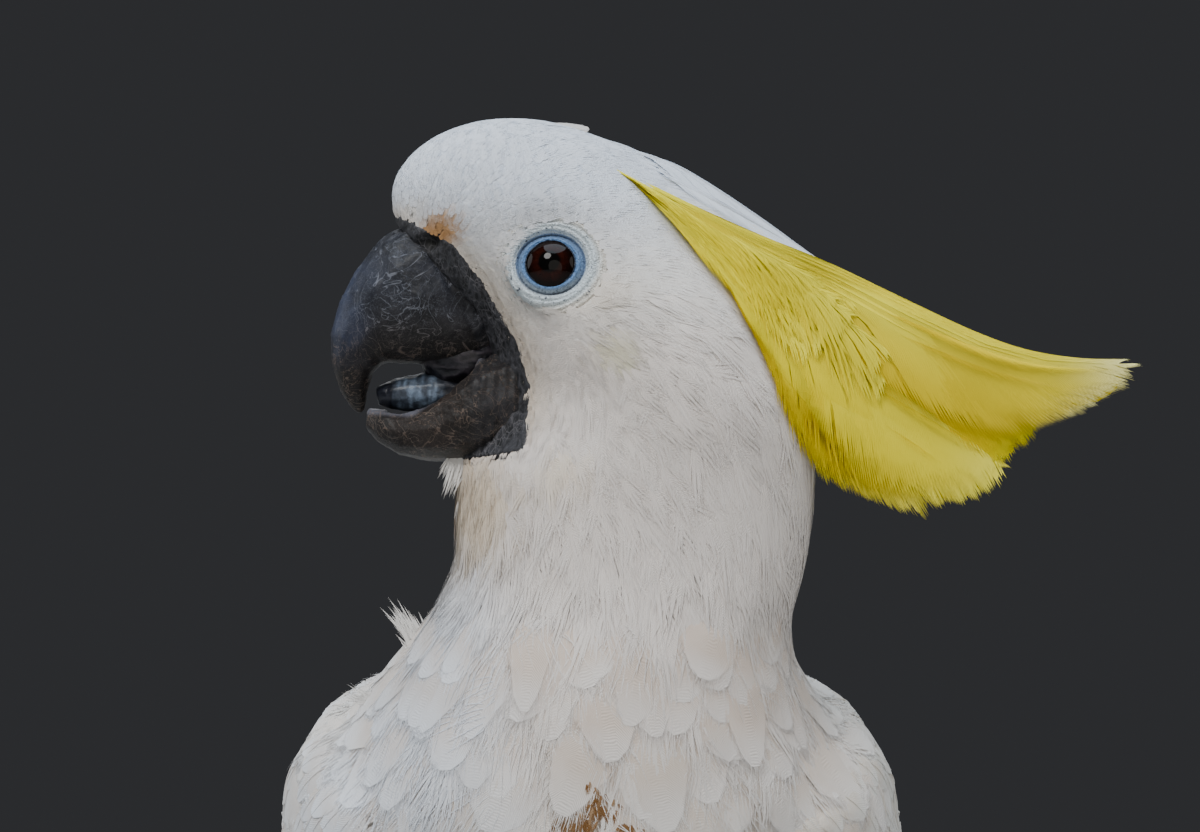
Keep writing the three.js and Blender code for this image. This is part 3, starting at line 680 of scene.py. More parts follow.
def vane_shape(seed, rows, stations, columns, blunt, narrow, fringe, side_fringe, fray, dome=0.35, rachis=0.0):
    """A closed vane with a round end, and fine loose barbs along its edge.

    blunt is how far back the end's corners lie, narrow is the root's width, fray the length of the loose barbs.
    """
    random = np.random.default_rng(seed)
    shape = Shape(rows)

    def width(v):
        return mix(narrow, 1.0, ramp(v, -0.1, 0.6)) * (1 - 0.10 * ramp(v, 0.75, 1.0))

    def place(u, v):
        uneven = 1 + 0.012 * math.sin(u * 23 + seed)
        return v * rounded(u, blunt) * uneven * 0.93, u * float(width(v)) * 0.93

    grid = []
    for v in np.linspace(0, 1, stations):
        row = []
        for u in np.linspace(-1, 1, columns):
            s, t = place(u, v)
            row.append(shape.point(s, t, dome * (1 - u * u) * (0.4 + 0.6 * v) + random.normal() * 0.03))
        grid.append(row)
    for v in range(stations - 1):
        for u in range(columns - 1):
            a, b, c, d = grid[v][u], grid[v][u + 1], grid[v + 1][u + 1], grid[v + 1][u]
            shape.faces += [(a, b, c), (a, c, d)]
    # loose barbs past the round end
    half = 1.0 / fringe
    for u in np.linspace(-1, 1, fringe):
        s, t = place(u, 0.97)
        grow = fray * (0.55 + 0.9 * random.random())
        lean = random.normal() * 0.03
        a = shape.point(s - 0.01, t - half * 0.9, dome * (1 - u * u) * 0.9)
        b = shape.point(s - 0.01, t + half * 0.9, dome * (1 - u * u) * 0.9)
        c = shape.point(s + grow * (1 - 0.5 * abs(u)), t + u * grow * 0.9 + lean, random.normal() * 0.12)
        shape.faces.append((a, b, c))
    # and along its two sides
    for side in (-1, 1):
        for v in np.linspace(0.35, 0.97, side_fringe):
            s, t = place(side, v)
            grow = fray * (0.5 + 0.9 * random.random())
            a = shape.point(s - 0.022, t * 0.98)
            b = shape.point(s + 0.022, t * 0.98)
            c = shape.point(s + grow * 0.95, t + side * grow * 0.8, random.normal() * 0.1)
            shape.faces.append((a, b, c) if side > 0 else (a, c, b))
    if rachis:
        add_rachis(shape, rachis, dome)
    return shape.finished()


def add_rachis(shape, half, lift):
    left, top, right = [], [], []
    for along in np.linspace(0, 0.93, 8):
        wide = half * (1 - 0.8 * along)
        left.append(shape.point(along, -wide, lift))
        top.append(shape.point(along, 0.0, lift + 0.55 * (1 - 0.7 * along)))
        right.append(shape.point(along, wide, lift))
    shape.strip(left, top)
    shape.strip(top, right)


def strands_shape(seed, rows, strands, segments, spread, uneven, thick, curl=0.1):
    """A tuft of fine strands that fan from the root."""
    random = np.random.default_rng(seed)
    shape = Shape(rows)
    for i in range(strands):
        to = (2 * (i + 0.5) / strands - 1) + random.normal() * 0.12
        start = 0.12 * random.random()
        end = 1 - uneven * random.random() - 0.18 * to * to
        bend = random.normal() * 0.14
        high = random.normal() * curl
        left, right = [], []
        for k in range(segments + 1):
            q = k / segments
            s = start + (end - start) * q
            t = to * (spread + (1 - spread) * q**0.8) + bend * q * q
            half = thick * (1.15 - 0.55 * q) * (0.7 + 0.6 * random.random())
            if k == segments:
                left.append(shape.point(s, t, high * q))
                right.append(left[-1])
            else:
                left.append(shape.point(s, t - half, high * q))
                right.append(shape.point(s, t + half, high * q + 0.04))
        shape.strip(left, right)
    return shape.finished()


def round_end(s):
    """A wing or tail quill's half width: nearly even, then a blunt round end."""
    return (0.72 + 0.28 * float(ramp(s, 0.0, 0.45))) * math.sqrt(1 - 0.8 * float(ramp(s, 0.86, 1.01)) ** 2)


def cut_off(s):
    """A crest quill's: as wide to the very end, which is cut off round."""
    return 1 - 0.3 * float(ramp(s, 0.82, 1.0))


def barbed_shape(seed, rows, barbs, sweep, ragged, segments, rachis, fine, gaps, outline):
    """A quill of single barbs, each a strip from the shaft out to the edge."""
    random = np.random.default_rng(seed)
    shape = Shape(rows)
    pitch = 1.0 / barbs
    for side in (-1, 1):
        drift = 0.0
        for i in range(barbs):
            start = 0.01 + 0.95 * i / (barbs - 1)
            drift = 0.85 * drift + random.normal() * ragged
            ahead = sweep * (1 - 0.35 * start) * (1 + drift * 0.5)
            end = min(start + ahead, 0.975 + 0.035 * random.random())
            reach = outline(min(end, 0.995)) * (1 - abs(drift) * 0.5)
            if start + ahead > 1:
                reach = reach * mix(0.15, 1.0, (1 - start) / ahead)
            reach = reach * (1 - 0.35 * (random.random() < gaps))
            high = random.normal() * fine
            left, right = [], []
            for k in range(segments + 1):
                q = k / segments
                along = start + (end - start) * q**0.85
                half = pitch * (0.72 - 0.17 * q)
                if k == segments:
                    left.append(shape.point(along + half, side * reach, high))
                    right.append(left[-1])
                else:
                    left.append(shape.point(along - half, side * reach * q, high * q))
                    right.append(shape.point(along + half, side * reach * q, high * q + 0.03))
            shape.strip(left, right) if side > 0 else shape.strip(right, left)
    add_rachis(shape, rachis, 0.1)
    return shape.finished()


CONTOURS = [
    vane_shape(seed, rows=5, stations=6, columns=6, blunt=blunt, narrow=0.35, fringe=60, side_fringe=14, fray=fray)
    for seed, blunt, fray in ((1, 0.42, 0.13), (2, 0.5, 0.18), (8, 0.36, 0.15))
]
COVERT = vane_shape(
    3, rows=5, stations=7, columns=7, blunt=0.36, narrow=0.5, fringe=30, side_fringe=7, fray=0.035, rachis=0.05
)
TUFT = strands_shape(4, rows=4, strands=11, segments=2, spread=0.55, uneven=0.5, thick=0.15, curl=0.02)
STRAY = strands_shape(10, rows=5, strands=7, segments=4, spread=0.6, uneven=0.6, thick=0.022, curl=0.25)
HAIRY = strands_shape(5, rows=5, strands=14, segments=3, spread=0.35, uneven=0.45, thick=0.085, curl=0.10)
QUILL = barbed_shape(
    6, rows=9, barbs=80, sweep=0.10, ragged=0.012, segments=2, rachis=0.07, fine=0.03, gaps=0.012, outline=round_end
)
PLUME = barbed_shape(
    7, rows=9, barbs=120, sweep=0.30, ragged=0.010, segments=3, rachis=0.02, fine=0.04, gaps=0.02, outline=cut_off
)
WISP = barbed_shape(
    9, rows=9, barbs=80, sweep=0.36, ragged=0.06, segments=4, rachis=0.02, fine=0.25, gaps=0.45, outline=cut_off
)
LIE_FLAT = 0.22  # how soon a feather rises from the skin: the less, the sooner


def control_points(surface, roots, along, length, width, rows):
    """Feathers laid on a surface: control points (feather, row, 3 across, xyz) and the normals there."""
    place, normal, _ = surface.nearest(roots)
    way = in_plane(along, normal)
    step = (length / (rows - 1))[:, None]
    points, normals = [], []
    for _ in range(rows):
        side = np.cross(normal, way) * width[:, None]
        across = np.stack([place - side, place, place + side], 1)
        on, out, _ = surface.nearest(across)
        points.append(on)
        normals.append(out)
        place, normal, _ = surface.nearest(place + way * step)
        way = in_plane(way, normal)
    return np.stack(points, 1), np.stack(normals, 1)


class Coat:
    """Feathers gathered under one name, then made into pieces."""

    LIMIT = 190_000  # triangles in a piece

    def __init__(self, name, slot="plumage_white"):
        self.name, self.slot = name, slot
        self.verts, self.faces, self.tints, self.uvs, self.barbs, self.count = [], [], [], [], [], 0
        self.made = []
        self.material = FEATHERS

    def lay(self, vane, points, normals, low, high, tint_root, tint_tip, uv, fade=(0.0, 1.0), tint_edge=None, edge_power=5):
        """Adds feathers of one shape. low and high are how far root and tip stand off the control points, in metres."""
        feathers = len(points)
        control = points.reshape(feathers, -1, 3)
        out = normals.reshape(feathers, -1, 3)
        place = np.einsum("kc,fcx->fkx", vane.weights, control)
        normal = unit(np.einsum("kc,fcx->fkx", vane.weights, out))
        along = np.clip(vane.s, 0, 1.1)
        share = np.maximum(along, 0) ** LIE_FLAT
        height = low[:, None] + (high - low)[:, None] * share + vane.lift * 0.55 * MM
        place = place + normal * height[..., None]
        # Colour runs from tint_root to tint_tip over fade; where the root's colour is darker it is painted shade under
        # the feather above.
        share = ramp(along, *fade)
        tint = mix(tint_root[:, None, :], tint_tip[:, None, :], np.broadcast_to(share, place.shape[:2]))
        # tint_edge is painted shade along the vane's edges, where feathers overlap.
        if tint_edge is not None:
            rim = np.abs(vane.t) ** edge_power * (1 - np.clip(along, 0, 1) ** 6)
            tint = mix(tint, tint_edge[:, None, :], np.broadcast_to(rim, place.shape[:2]))
        patch = np.stack([vane.t * 0.0012, (vane.s - 0.5) * 0.0026], 1)
        place_uv = uv[:, None, :] + patch
        number = len(vane.s)
        faces = vane.faces[None] + (np.arange(feathers) * number)[:, None, None]
        # each vertex knows its place on its own feather in mm, which the material draws the barbs from
        shaft = points[:, :, 1]
        length = np.linalg.norm(np.diff(shaft, axis=1), axis=2).sum(1) / MM
        half = np.linalg.norm(points[:, vane.rows // 2, 2] - shaft[:, vane.rows // 2], axis=1) / MM
        chance = np.broadcast_to(RNG.random(feathers)[:, None], place.shape[:2])
        barb = np.stack([vane.s * length[:, None], np.abs(vane.t) * half[:, None], chance], -1)
        per_piece = max(1, self.LIMIT // len(vane.faces))
        for first in range(0, feathers, per_piece):
            part = slice(first, first + per_piece)
            self.put(place[part], faces[part] - first * number, tint[part], place_uv[part], barb[part])

    def put(self, verts, faces, tints, uvs, barbs):
        verts, tints = verts.reshape(-1, 3), tints.reshape(-1, 3)
        faces, uvs = faces.reshape(-1, 3), uvs.reshape(-1, 2)
        if self.count + len(faces) > self.LIMIT:
            self.flush()
        self.barbs.append(barbs.reshape(-1, 3))
        self.faces.append(faces + sum(map(len, self.verts)))
        self.verts.append(verts)
        self.tints.append(tints)
        self.uvs.append(uvs)
        self.count += len(faces)

    def flush(self):
        if not self.verts:
            return
        arrays = [np.concatenate(a) for a in (self.verts, self.faces, self.tints, self.uvs)]
        name = f"{self.name}_{len(self.made) + 1}"
        piece = make_object(name, arrays[0], arrays[1], self.material, arrays[2], arrays[3])
        attribute = piece.data.attributes.new("barb", "FLOAT_VECTOR", "POINT")
        attribute.data.foreach_set("vector", np.concatenate(self.barbs).astype(np.float32).ravel())
        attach(piece, "root")
        self.made.append(piece)
        self.verts, self.faces, self.tints, self.uvs, self.barbs, self.count = [], [], [], [], [], 0


# ------------------------------------------------------------------ the unwrap that tufts take their places from


def unwrapped(obj):
    """A light copy of the skin, unwrapped by its own shape: its surface, and the map's place for each corner."""
    copy = obj.copy()
    copy.data = obj.data.copy()
    bpy.context.scene.collection.objects.link(copy)
    modified(copy, ("DECIMATE", {"ratio": 0.12, "use_collapse_triangulate": True}))
    for other in bpy.context.selected_objects:
        other.select_set(False)
    copy.select_set(True)
    bpy.context.view_layer.objects.active = copy
    bpy.ops.object.mode_set(mode="EDIT")
    bpy.ops.mesh.select_all(action="SELECT")
    bpy.ops.uv.smart_project(angle_limit=math.radians(66), island_margin=0.004)
    bpy.ops.object.mode_set(mode="OBJECT")
    surface = Surface(copy)
    mesh = copy.data
    uv = np.empty(len(mesh.loops) * 2)
    mesh.uv_layers[0].data.foreach_get("uv", uv)
    mesh.calc_loop_triangles()
    loops = np.empty(len(mesh.loop_triangles) * 3, int)
    mesh.loop_triangles.foreach_get("loops", loops)
    bpy.data.objects.remove(copy)
    return surface, uv.reshape(-1, 2)[loops].reshape(-1, 3, 2)


MAP_SURFACE, MAP_CORNERS = unwrapped(body)


def map_places(points):
    """Where points are on the unwrap."""
    place, _, face = MAP_SURFACE.nearest(points)
    weights = np.clip(MAP_SURFACE.weights(place, face), 0, 1)
    return (weights[..., None] * MAP_CORNERS[face]).sum(1)


# ------------------------------------------------------------------ skin

BIRD = HEAD - np.array([0, -7, 238]) * MM  # the origin of the bird's own millimetres, between its feet
TAIL_ROOT, TAIL_END = (118.0, 88.0), (277.5, 11.5)  # y and height in the bird's millimetres
TAIL_AXIS = unit([0, TAIL_END[0] - TAIL_ROOT[0], TAIL_END[1] - TAIL_ROOT[1]])
TAIL_SHORT = 9 * MM  # how far the tail's skin stops before the ends of its quills


def build_skin():
    """The skin lies under the feathers by the coat's depth. It carries the plumage's colours, darkened as painted
    shade.
    """
    verts = OUTER.verts
    node = owners(verts)
    depth = coat_depth(verts, node)
    skin = body
    skin.name = skin.data.name = "skin"
    inner = verts - OUTER.normals * depth[:, None]
    tail_end = ramp((verts[:, 1] - BIRD[1]) / MM, 200, 277)
    inner = inner - np.outer(tail_end * TAIL_SHORT, TAIL_AXIS)
    place_vertices(skin, inner)
    modified(skin, smooth_step(4))
    p = from_head(verts)
    # Painted shade: where it shows between the feathers the skin is darkened towards cream, most on the lower front.
    painted_gap_shade = 0.08 + 0.3 * ramp(p[:, 2], -10, -60) * ramp(p[:, 1], 40, 10)
    set_tint(skin.data, mix(plumage_tint(verts, node), CREAM * 0.8, painted_gap_shade))
    skin.data.materials.clear()
    skin.data.materials.append(SKIN)
    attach(skin, "root")
    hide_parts("head", "neck", "trunk", *THIGHS, *WINGS, *TAIL)
    return skin


# ------------------------------------------------------------------ the coat


LOOSE = 0.12 * MM  # how far feathers stray from the surface
COVERTS_END = 50.0  # along the wing, in the bird's millimetres: beyond it lie the rows of long coverts and quills


def jitter(count, amount):
    return 1 + RNG.normal(size=count) * amount


def lay_tract(coat, vane, roots, node, length, width, twist=0.12, depth=None, shade=0.5, fade=(0.0, 1.0), tint=None, loose=LOOSE, proud=0.0):
    """Feathers of one shape at many roots. length, width and proud, in metres, may differ from root to root.

    proud is how far a feather's end stands over the surface.
    """
    count = len(roots)
    length = length * jitter(count, 0.10)
    width = width * jitter(count, 0.10)
    _, normal, _ = OUTER.nearest(roots)
    way = turned(lie(roots, node), normal, RNG.normal(size=count) * twist)
    points, normals = control_points(OUTER, roots, way, length, width, vane.rows)
    depth = coat_depth(roots, node) if depth is None else depth
    tip_tint = plumage_tint(points[:, -1, 1], node) if tint is None else np.broadcast_to(tint, (count, 3))
    tip_tint = tip_tint * jitter(count, 0.02)[:, None]
    # Painted shade: each feather's root is darkened towards tan by shade, where the feather above overlaps it.
    root_tint = mix(tip_tint, TAN * tip_tint / 0.8, np.broadcast_to(shade, count))
    lift = np.abs(RNG.normal(size=count)) * loose + proud
    coat.lay(
        vane,
        points,
        normals,
        low=-depth * 0.92,
        high=lift,
        tint_root=root_tint,
        tint_tip=tip_tint,
        uv=map_places(roots),
        fade=fade,
    )


HEAD_LOW = -56  # below this height from the head's centre, in mm, tufts give way to feathers


def away_from_bare(points, faces):
    node = owners(points)
    bare = np.char.startswith(node, "bill") | (node == "cere") | (node == "tongue")
    return ~bare & (bare_margin(from_head(points)) > 0) & (eye_distance(points) > 0.92)


def head_tufts():
    """Tiny feathers on face, crown and cheeks, larger to the rear and long and hairy over the ear."""
    coat = Coat("coat_head")

    def spacing(points):
        p = from_head(points)
        near = ramp(np.hypot(p[:, 0] + 30, p[:, 2] - 30), 14, 90)
        return mix(1.1, 2.5, near) * MM

    def keep(points, faces):
        p = from_head(points)
        edge = HEAD_LOW + RNG.normal(size=len(points)) * 9
        return (p[:, 2] > edge) & away_from_bare(points, faces)

    roots, _ = OUTER.scattered(spacing, keep, 320_000)
    p = from_head(roots)
    node = owners(roots)
    back = ramp(np.hypot(p[:, 0] + 30, p[:, 2] - 30), 8, 100)
    length = mix(3.4, 17.0, back) * MM
    width = mix(0.75, 3.2, back) * MM
    ear = np.hypot((p[:, 0] - 14) / 20, (p[:, 2] - 12) / 15) < 1
    depth = mix(0.3, 1.1, ramp(p[:, 2], -20, -55)) * MM
    loose = ear | (p[:, 2] < RNG.normal(-2, 7, size=len(p)))
    for chosen, vane, longer, twist, rise in ((~loose, TUFT, 1.0, 0.10, 0.04), (loose, HAIRY, 1.25, 0.3, 0.14)):
        lay_tract(
            coat,
            vane,
            roots[chosen],
            node[chosen],
            length[chosen] * longer,
            width[chosen],
            twist=twist,
            depth=depth[chosen],
            shade=0.12,
            loose=rise * MM,
        )
    coat.flush()
    return coat


WING_MARGIN = 8.0  # how far the back's feathers reach over the folded wings, in mm
SCAPULAR_LIFT = 0.6  # how far the back's feathers stand over the wings' edges, in mm
SCAPULAR_STEPS = (0, 4, 8)  # how near to a wing they rise, a third of that height at each step, in mm
TAIL_COVERTS = 156.0  # where the last feathers over the tail root, in the bird's millimetres


def body_feathers():
    """Neck, breast, belly, back and thighs."""
    coat = Coat("coat_body")

    def spacing(points):
        p = from_head(points)
        gap = mix(4.5, 8.4, ramp(p[:, 2], -45, -85)) * mix(1, 0.8, ramp(p[:, 1], 20, 50))
        gap = np.where(np.char.endswith(owners(points), "thigh"), 4.2, gap)
        return gap * MM

    def keep(points, faces):
        p = from_head(points)
        node = owners(points)
        inward = points - np.sign(p[:, :1]) * [WING_MARGIN * MM, 0, 0]
        on_wing = np.char.startswith(node, "wing") & (owners(inward) != "trunk")
        on_tail = np.char.startswith(node, "tail") & ((points[:, 1] - BIRD[1]) / MM > TAIL_COVERTS)
        covered = on_wing | on_tail
        return (p[:, 2] < HEAD_LOW + 14) & ~covered & away_from_bare(points, faces)

    roots, _ = OUTER.scattered(spacing, keep, 60_000)
    node = owners(roots)
    p = from_head(roots)
    low = ramp(p[:, 2], -40, -85)
    length = mix(19, 35, low) * np.exp(RNG.normal(size=len(p)) * 0.18)
    width = mix(6.0, 13.5, low) * mix(1, 0.75, ramp(p[:, 1], 20, 50)) * np.exp(RNG.normal(size=len(p)) * 0.18)
    thigh = np.char.endswith(node, "thigh")
    length, width = np.where(thigh, 15, length) * MM, np.where(thigh, 5, width) * MM
    # Painted shade at the feathers' roots, stronger on the front.
    shade = 0.1 + 0.3 * ramp(p[:, 1], 25, -5)
    outward = np.sign(p[:, :1]) * [MM, 0, 0]
    to_wing = [np.char.startswith(owners(roots + outward * step), "wing") for step in SCAPULAR_STEPS]
    proud = SCAPULAR_LIFT * np.mean(to_wing, axis=0) * ramp(p[:, 1], 20, 45) * MM
    kind = RNG.integers(len(CONTOURS), size=len(roots))
    for number, vane in enumerate(CONTOURS):
        of_kind = kind == number
        lay_tract(
            coat,
            vane,
            roots[of_kind],
            node[of_kind],
            length[of_kind],
            width[of_kind],
            twist=0.26,
            shade=shade[of_kind],
            fade=(0.5, 0.88),
            loose=0.2 * MM,
            proud=proud[of_kind],
        )
    coat.flush()


ANKLE = (27.0, 74.0, 34.0)  # the ankle's place in the bird's millimetres
CUFFS = ((60.0, 36.0), (50.0, 29.0))  # the heights from and to which its feathers hang, a ring of them each
CUFF_FEATHERS, CUFF_HALF = 26, 3.6
LEG_HALF = 6.9  # half the width of the feathered leg where it ends, in mm
LEG_LEAN = 0.42  # how far the leg comes forward for each mm up or down from the ankle


def ankle_cuffs():
    """Feathers that hang from the thigh round the ankle."""
    coat = Coat("coat_ankles")
    vane = CONTOURS[0]
    share = np.linspace(0, 1, vane.rows)
    for side in SIDES.values():
        for top, end in CUFFS:
            turn = np.linspace(0, 2 * math.pi, CUFF_FEATHERS, endpoint=False) + RNG.normal(size=CUFF_FEATHERS) * 0.08
            start, stop = (z + RNG.normal(size=CUFF_FEATHERS) * 1.2 for z in (top, end))
            high = start[:, None] + (stop - start)[:, None] * share
            back = ANKLE[1] - LEG_LEAN * np.abs(high - ANKLE[2])
            middle = BIRD + np.stack([np.full(high.shape, side * ANKLE[0]), back, high], -1) * MM
            out = np.stack([np.cos(turn), np.sin(turn), 0 * turn], -1)[:, None]
            reach = 20 * MM
            found, missed = on_outside(middle + out * reach, -out, 0.0, reach - 2 * MM)
            wide = np.where(missed, LEG_HALF, np.maximum(((found - middle) * out).sum(-1) / MM, LEG_HALF))
            wide[:, 1:-1] = (wide[:, :-2] + 2 * wide[:, 1:-1] + wide[:, 2:]) / 4
            across = np.cross(out, [0, 0, 1.0]) * CUFF_HALF * MM
            line = middle + out * wide[..., None] * MM
            points = np.stack([line - across, line, line + across], 2)
            normals = np.broadcast_to(out[:, :, None], points.shape)
            tint = WHITE * jitter(CUFF_FEATHERS, 0.02)[:, None]
            low, lift = np.full(CUFF_FEATHERS, -1.0 * MM), np.full(CUFF_FEATHERS, 0.3 * MM)
            # Painted shade: the cuff feathers' roots darkened towards tan.
            root_tint = mix(tint, TAN, 0.2)
            coat.lay(vane, points, normals, low, lift, root_tint, tint, map_places(points[:, 0, 1]), (0.3, 0.9))
    coat.flush()


def loose_barbs():
    """Fine single barbs that stray over the feathers of neck and breast."""
    coat = Coat("coat_barbs")

    def keep(points, faces):
        p = from_head(points)
        free = np.isin(owners(points), ["neck", "trunk"])
        return free & (p[:, 2] < HEAD_LOW + 12) & (p[:, 2] > -140) & (p[:, 1] < 40)

    roots, _ = OUTER.scattered(5.0 * MM, keep, 40_000)
    node = owners(roots)
    count = len(roots)
    lay_tract(
        coat,
        STRAY,
        roots,
        node,
        np.full(count, 15.0 * MM),
        np.full(count, 4.5 * MM),
        twist=0.35,
        depth=np.full(count, -0.1 * MM),
        shade=0.0,
        loose=0.25 * MM,
    )
    coat.flush()


def wing_feathers():
    """Small coverts scattered over the folded wings, short of the rows of long coverts and quills."""
    coat = Coat("coat_wings")

    def keep(points, faces):
        along = (points[:, 1] - BIRD[1]) / MM + RNG.normal(size=len(points)) * 2.5
        return np.char.startswith(owners(points), "wing") & (along < COVERTS_END)

    def spacing(points):
        return mix(4.2, 7.0, ramp(from_head(points)[:, 1], 0, 50)) * MM

    roots, _ = OUTER.scattered(spacing, keep, 30_000)
    node = owners(roots)
    p = from_head(roots)
    far = ramp(p[:, 1], 0, 60)
    lay_tract(
        coat,
        COVERT,
        roots,
        node,
        mix(13, 24, far) * MM,
        mix(5.0, 8.5, far) * MM,
        twist=0.08,
        shade=0.3,
        fade=(0.5, 0.9),
    )
    coat.flush()
    return coat


def face_fringe():
    """Small dense feathers along the edge of the bare face, that point down along it and hide the skin's end."""
    coat = Coat("coat_fringe")

    def keep(points, faces):
        margin = bare_margin(from_head(points))
        return (margin > -0.35) & (margin < 1.6)

    roots, _ = OUTER.scattered(0.55 * MM, keep, 500_000)
    node = np.full(len(roots), "head")
    lay_tract(
        coat,
        TUFT,
        roots,
        node,
        np.full(len(roots), 3.0 * MM),
        np.full(len(roots), 0.6 * MM),
        twist=0.35,
        depth=np.full(len(roots), 0.15 * MM),
        shade=0.25,
    )
    coat.flush()


STAINS = (((-1, -83), (5.5, 3.6), 120), ((-4, -86), (3.5, 3.0), 50), ((8.5, -88), (3.5, 1.0), 20))


def breast_stain():
    """Soiled barbs on the breast, as short brown strands over the feathers."""
    coat = Coat("coat_stain")
    for (x, z), (wide, high), count in STAINS:
        places = RNG.normal(size=(count, 2)) * 0.5 * [wide, high] + [x, z]
        start = np.array([at_head(px, -90, pz) for px, pz in places])
        roots, _ = on_outside(start, np.array([0.0, 1, 0]), 0.0, 0.12)
        node = np.full(count, "trunk")
        tint = mix(STAIN, TAN, RNG.random(count) ** 2 * 0.6)
        lay_tract(
            coat,
            HAIRY,
            roots,
            node,
            np.full(count, 3.6 * MM),
            np.full(count, 0.55 * MM),
            twist=0.3,
            depth=np.full(count, -0.35 * MM),
            shade=0.0,
            tint=tint,
        )
    coat.flush()


# Feathers that stand away from the rest: how many, from where to where from the head's centre, and half their width.
STRAYS = (
    (1, (-13, -2, 62.2), (0.5, -2, 63.0), 2.0),
    (7, (-27, -5, -7), (-33, -7, -17), 1.6),
    (14, (-33, 8, -57), (-41.5, 8, -41.5), 3.4),
    (4, (-46, 8, -64), (-54.5, 8, -59), 1.4),
)


def stray_feathers():
    """A tip on the crown, a tuft under the chin and a few loose feathers on the shoulder."""
    coat = Coat("coat_strays")
    for count, start, end, half in STRAYS:
        vane = COVERT if count == 1 else HAIRY
        wander = RNG.normal(size=(2, count, 3)) * (0 if count == 1 else 1.3)
        start, end = np.array(start) + wander[0], np.array(end) + wander[1]
        along = np.linspace(0, 1, vane.rows)[:, None]
        line = start[:, None] + (end - start)[:, None] * along
        side = np.cross(end - start, [0, -1.0, 0])
        side = (unit(side) * half)[:, None]
        points = HEAD + np.stack([line - side, line, line + side], 2) * MM
        normals = np.broadcast_to(np.array([0, -1.0, 0]), points.shape)
        tint = np.broadcast_to(WHITE, (count, 3))
        low, high = np.full(count, -0.5 * MM), np.full(count, 0.1 * MM)
        coat.lay(vane, points, normals, low, high, tint, tint, map_places(points[:, 0, 1]))
    coat.flush()


# ------------------------------------------------------------------ wing and tail quills


def on_outside(points, way, reach, beyond=0.05):
    """Where straight lines along way, begun reach before each point, first meet the body's surface."""
    way = np.broadcast_to(way, points.shape)
    found = points.copy()
    normals = -way.copy()
    missed = np.zeros(points.shape[:-1], bool)
    for index in np.ndindex(points.shape[:-1]):
        start = Vector(points[index] - way[index] * reach)
        hit, _, _, _ = OUTER.tree.ray_cast(start, Vector(way[index]), reach + beyond)
        if hit is None:
            missed[index] = True
        else:
            found[index] = hit
    return found, missed


# The wing's axis from the shoulder to the tip, in the same bird's millimetres as the spine: the body's half width and
# half depth there, and the angles from the back's midline between which the folded wing lies.
WING_STATIONS = np.array(
    [
        [10, 154, 66, 58, 50, 126],
        [42, 127, 71, 62, 37, 117],
        [68, 111, 67, 59, 31, 112],
        [98, 96, 59, 52, 28, 108],
        [130, 81, 47, 42, 28, 104],
        [162, 67.5, 35, 31, 27, 98],
        [194, 51.5, 25, 23, 26, 92],
        [222, 38, 18, 16, 26, 84],
        [251, 24, 11, 10, 40, 64],
    ],
    float,
)
WING_UP = np.array([0, 0.485, 0.875])  # square to the wing's axis


def wing_place(y, share, side):
    """A place beside the wing, at y along it and a share of the way across it from the back down."""
    height, wide, deep, low, high = (np.interp(y, WING_STATIONS[:, 0], WING_STATIONS[:, k]) for k in range(1, 6))
    angle = np.radians(low + (high - low) * share)
    middle = BIRD + np.stack([0 * y, y, height], -1) * MM
    out = np.stack([side * np.sin(angle), np.cos(angle) * WING_UP[1], np.cos(angle) * WING_UP[2]], -1)
    reach = np.hypot(wide * np.sin(angle), deep * np.cos(angle))
    return middle + out * reach[..., None] * MM, -out


def settled(points, missed):
    """Points that missed the body take the run of those before them, row by row."""
    for row in range(1, points.shape[1]):
        lost = missed[:, row]
        before = points[:, row - 1]
        further = before + (before - points[:, max(row - 2, 0)])
        points[:, row][lost] = further[lost]
    return points


def lattice_normals(points, way):
    """Normals of grids of control points (feather, row, 3 across), on the side that way comes from."""
    along = np.gradient(points, axis=1)
    across = np.gradient(points, axis=2)
    normal = unit(np.cross(along, across))
    turned_in = (normal * way).sum(-1) > 0
    normal[turned_in] *= -1
    return normal


def wing_row(coat, vane, side, first, last, shares, half, lift, tilt, shade=0.2):
    """One row of a folded wing. first and last are where its feathers begin and end along the wing, in mm."""
    count = len(shares)
    rows = np.linspace(0, 1, vane.rows)
    begin = np.broadcast_to(first, count) + RNG.normal(size=count) * 1.5
    end = np.broadcast_to(last, count) + RNG.normal(size=count) * 1.2
    y = begin[:, None] + (end - begin)[:, None] * rows
    radius = np.interp(y, WING_STATIONS[:, 0], WING_STATIONS[:, 2])
    span = np.radians(np.interp(y, WING_STATIONS[:, 0], WING_STATIONS[:, 5] - WING_STATIONS[:, 4]))
    step = half / np.maximum(radius * span, 6)
    across = np.stack([shares[:, None] - step, shares[:, None] + 0 * step, shares[:, None] + step], -1)
    place, way = wing_place(np.repeat(y[..., None], 3, -1), np.clip(across, -0.4, 1.02), side)
    found, missed = on_outside(place, way, 0.03)
    points = settled(found, missed)
    normals = lattice_normals(points, way)
    points = points + normals * ((lift + np.array(tilt)) * MM)[None, None, :, None]
    roots = points[:, 0, 1]
    node = np.full(count, f"wing_{'left' if side > 0 else 'right'}_primaries")
    tint = plumage_tint(points[:, -1, 1], node) * jitter(count, 0.02)[:, None]
    # Painted shade: roots and edges darkened towards tan where the feathers overlap.
    coat.lay(
        vane,
        points,
        normals,
        low=np.full(count, -(1.4 + lift) * MM),
        high=np.full(count, 0.25 * MM),
        tint_root=mix(tint, TAN * 1.2, shade * 0.5),
        tint_tip=tint,
        tint_edge=mix(tint, TAN, 0.4),
        edge_power=9,
        uv=map_places(roots),
        fade=(0.3, 0.95),
    )


# How much higher than its row a feather's inner edge, shaft and outer edge lie, in mm: in the wing's rows each feather
# lies over the next one down, while those along the back close the gap between it and the wing.
OVER_NEXT = (1.0, 0.75, -0.45)
OVER_BACK = (-1.9, 0.2, -0.2)
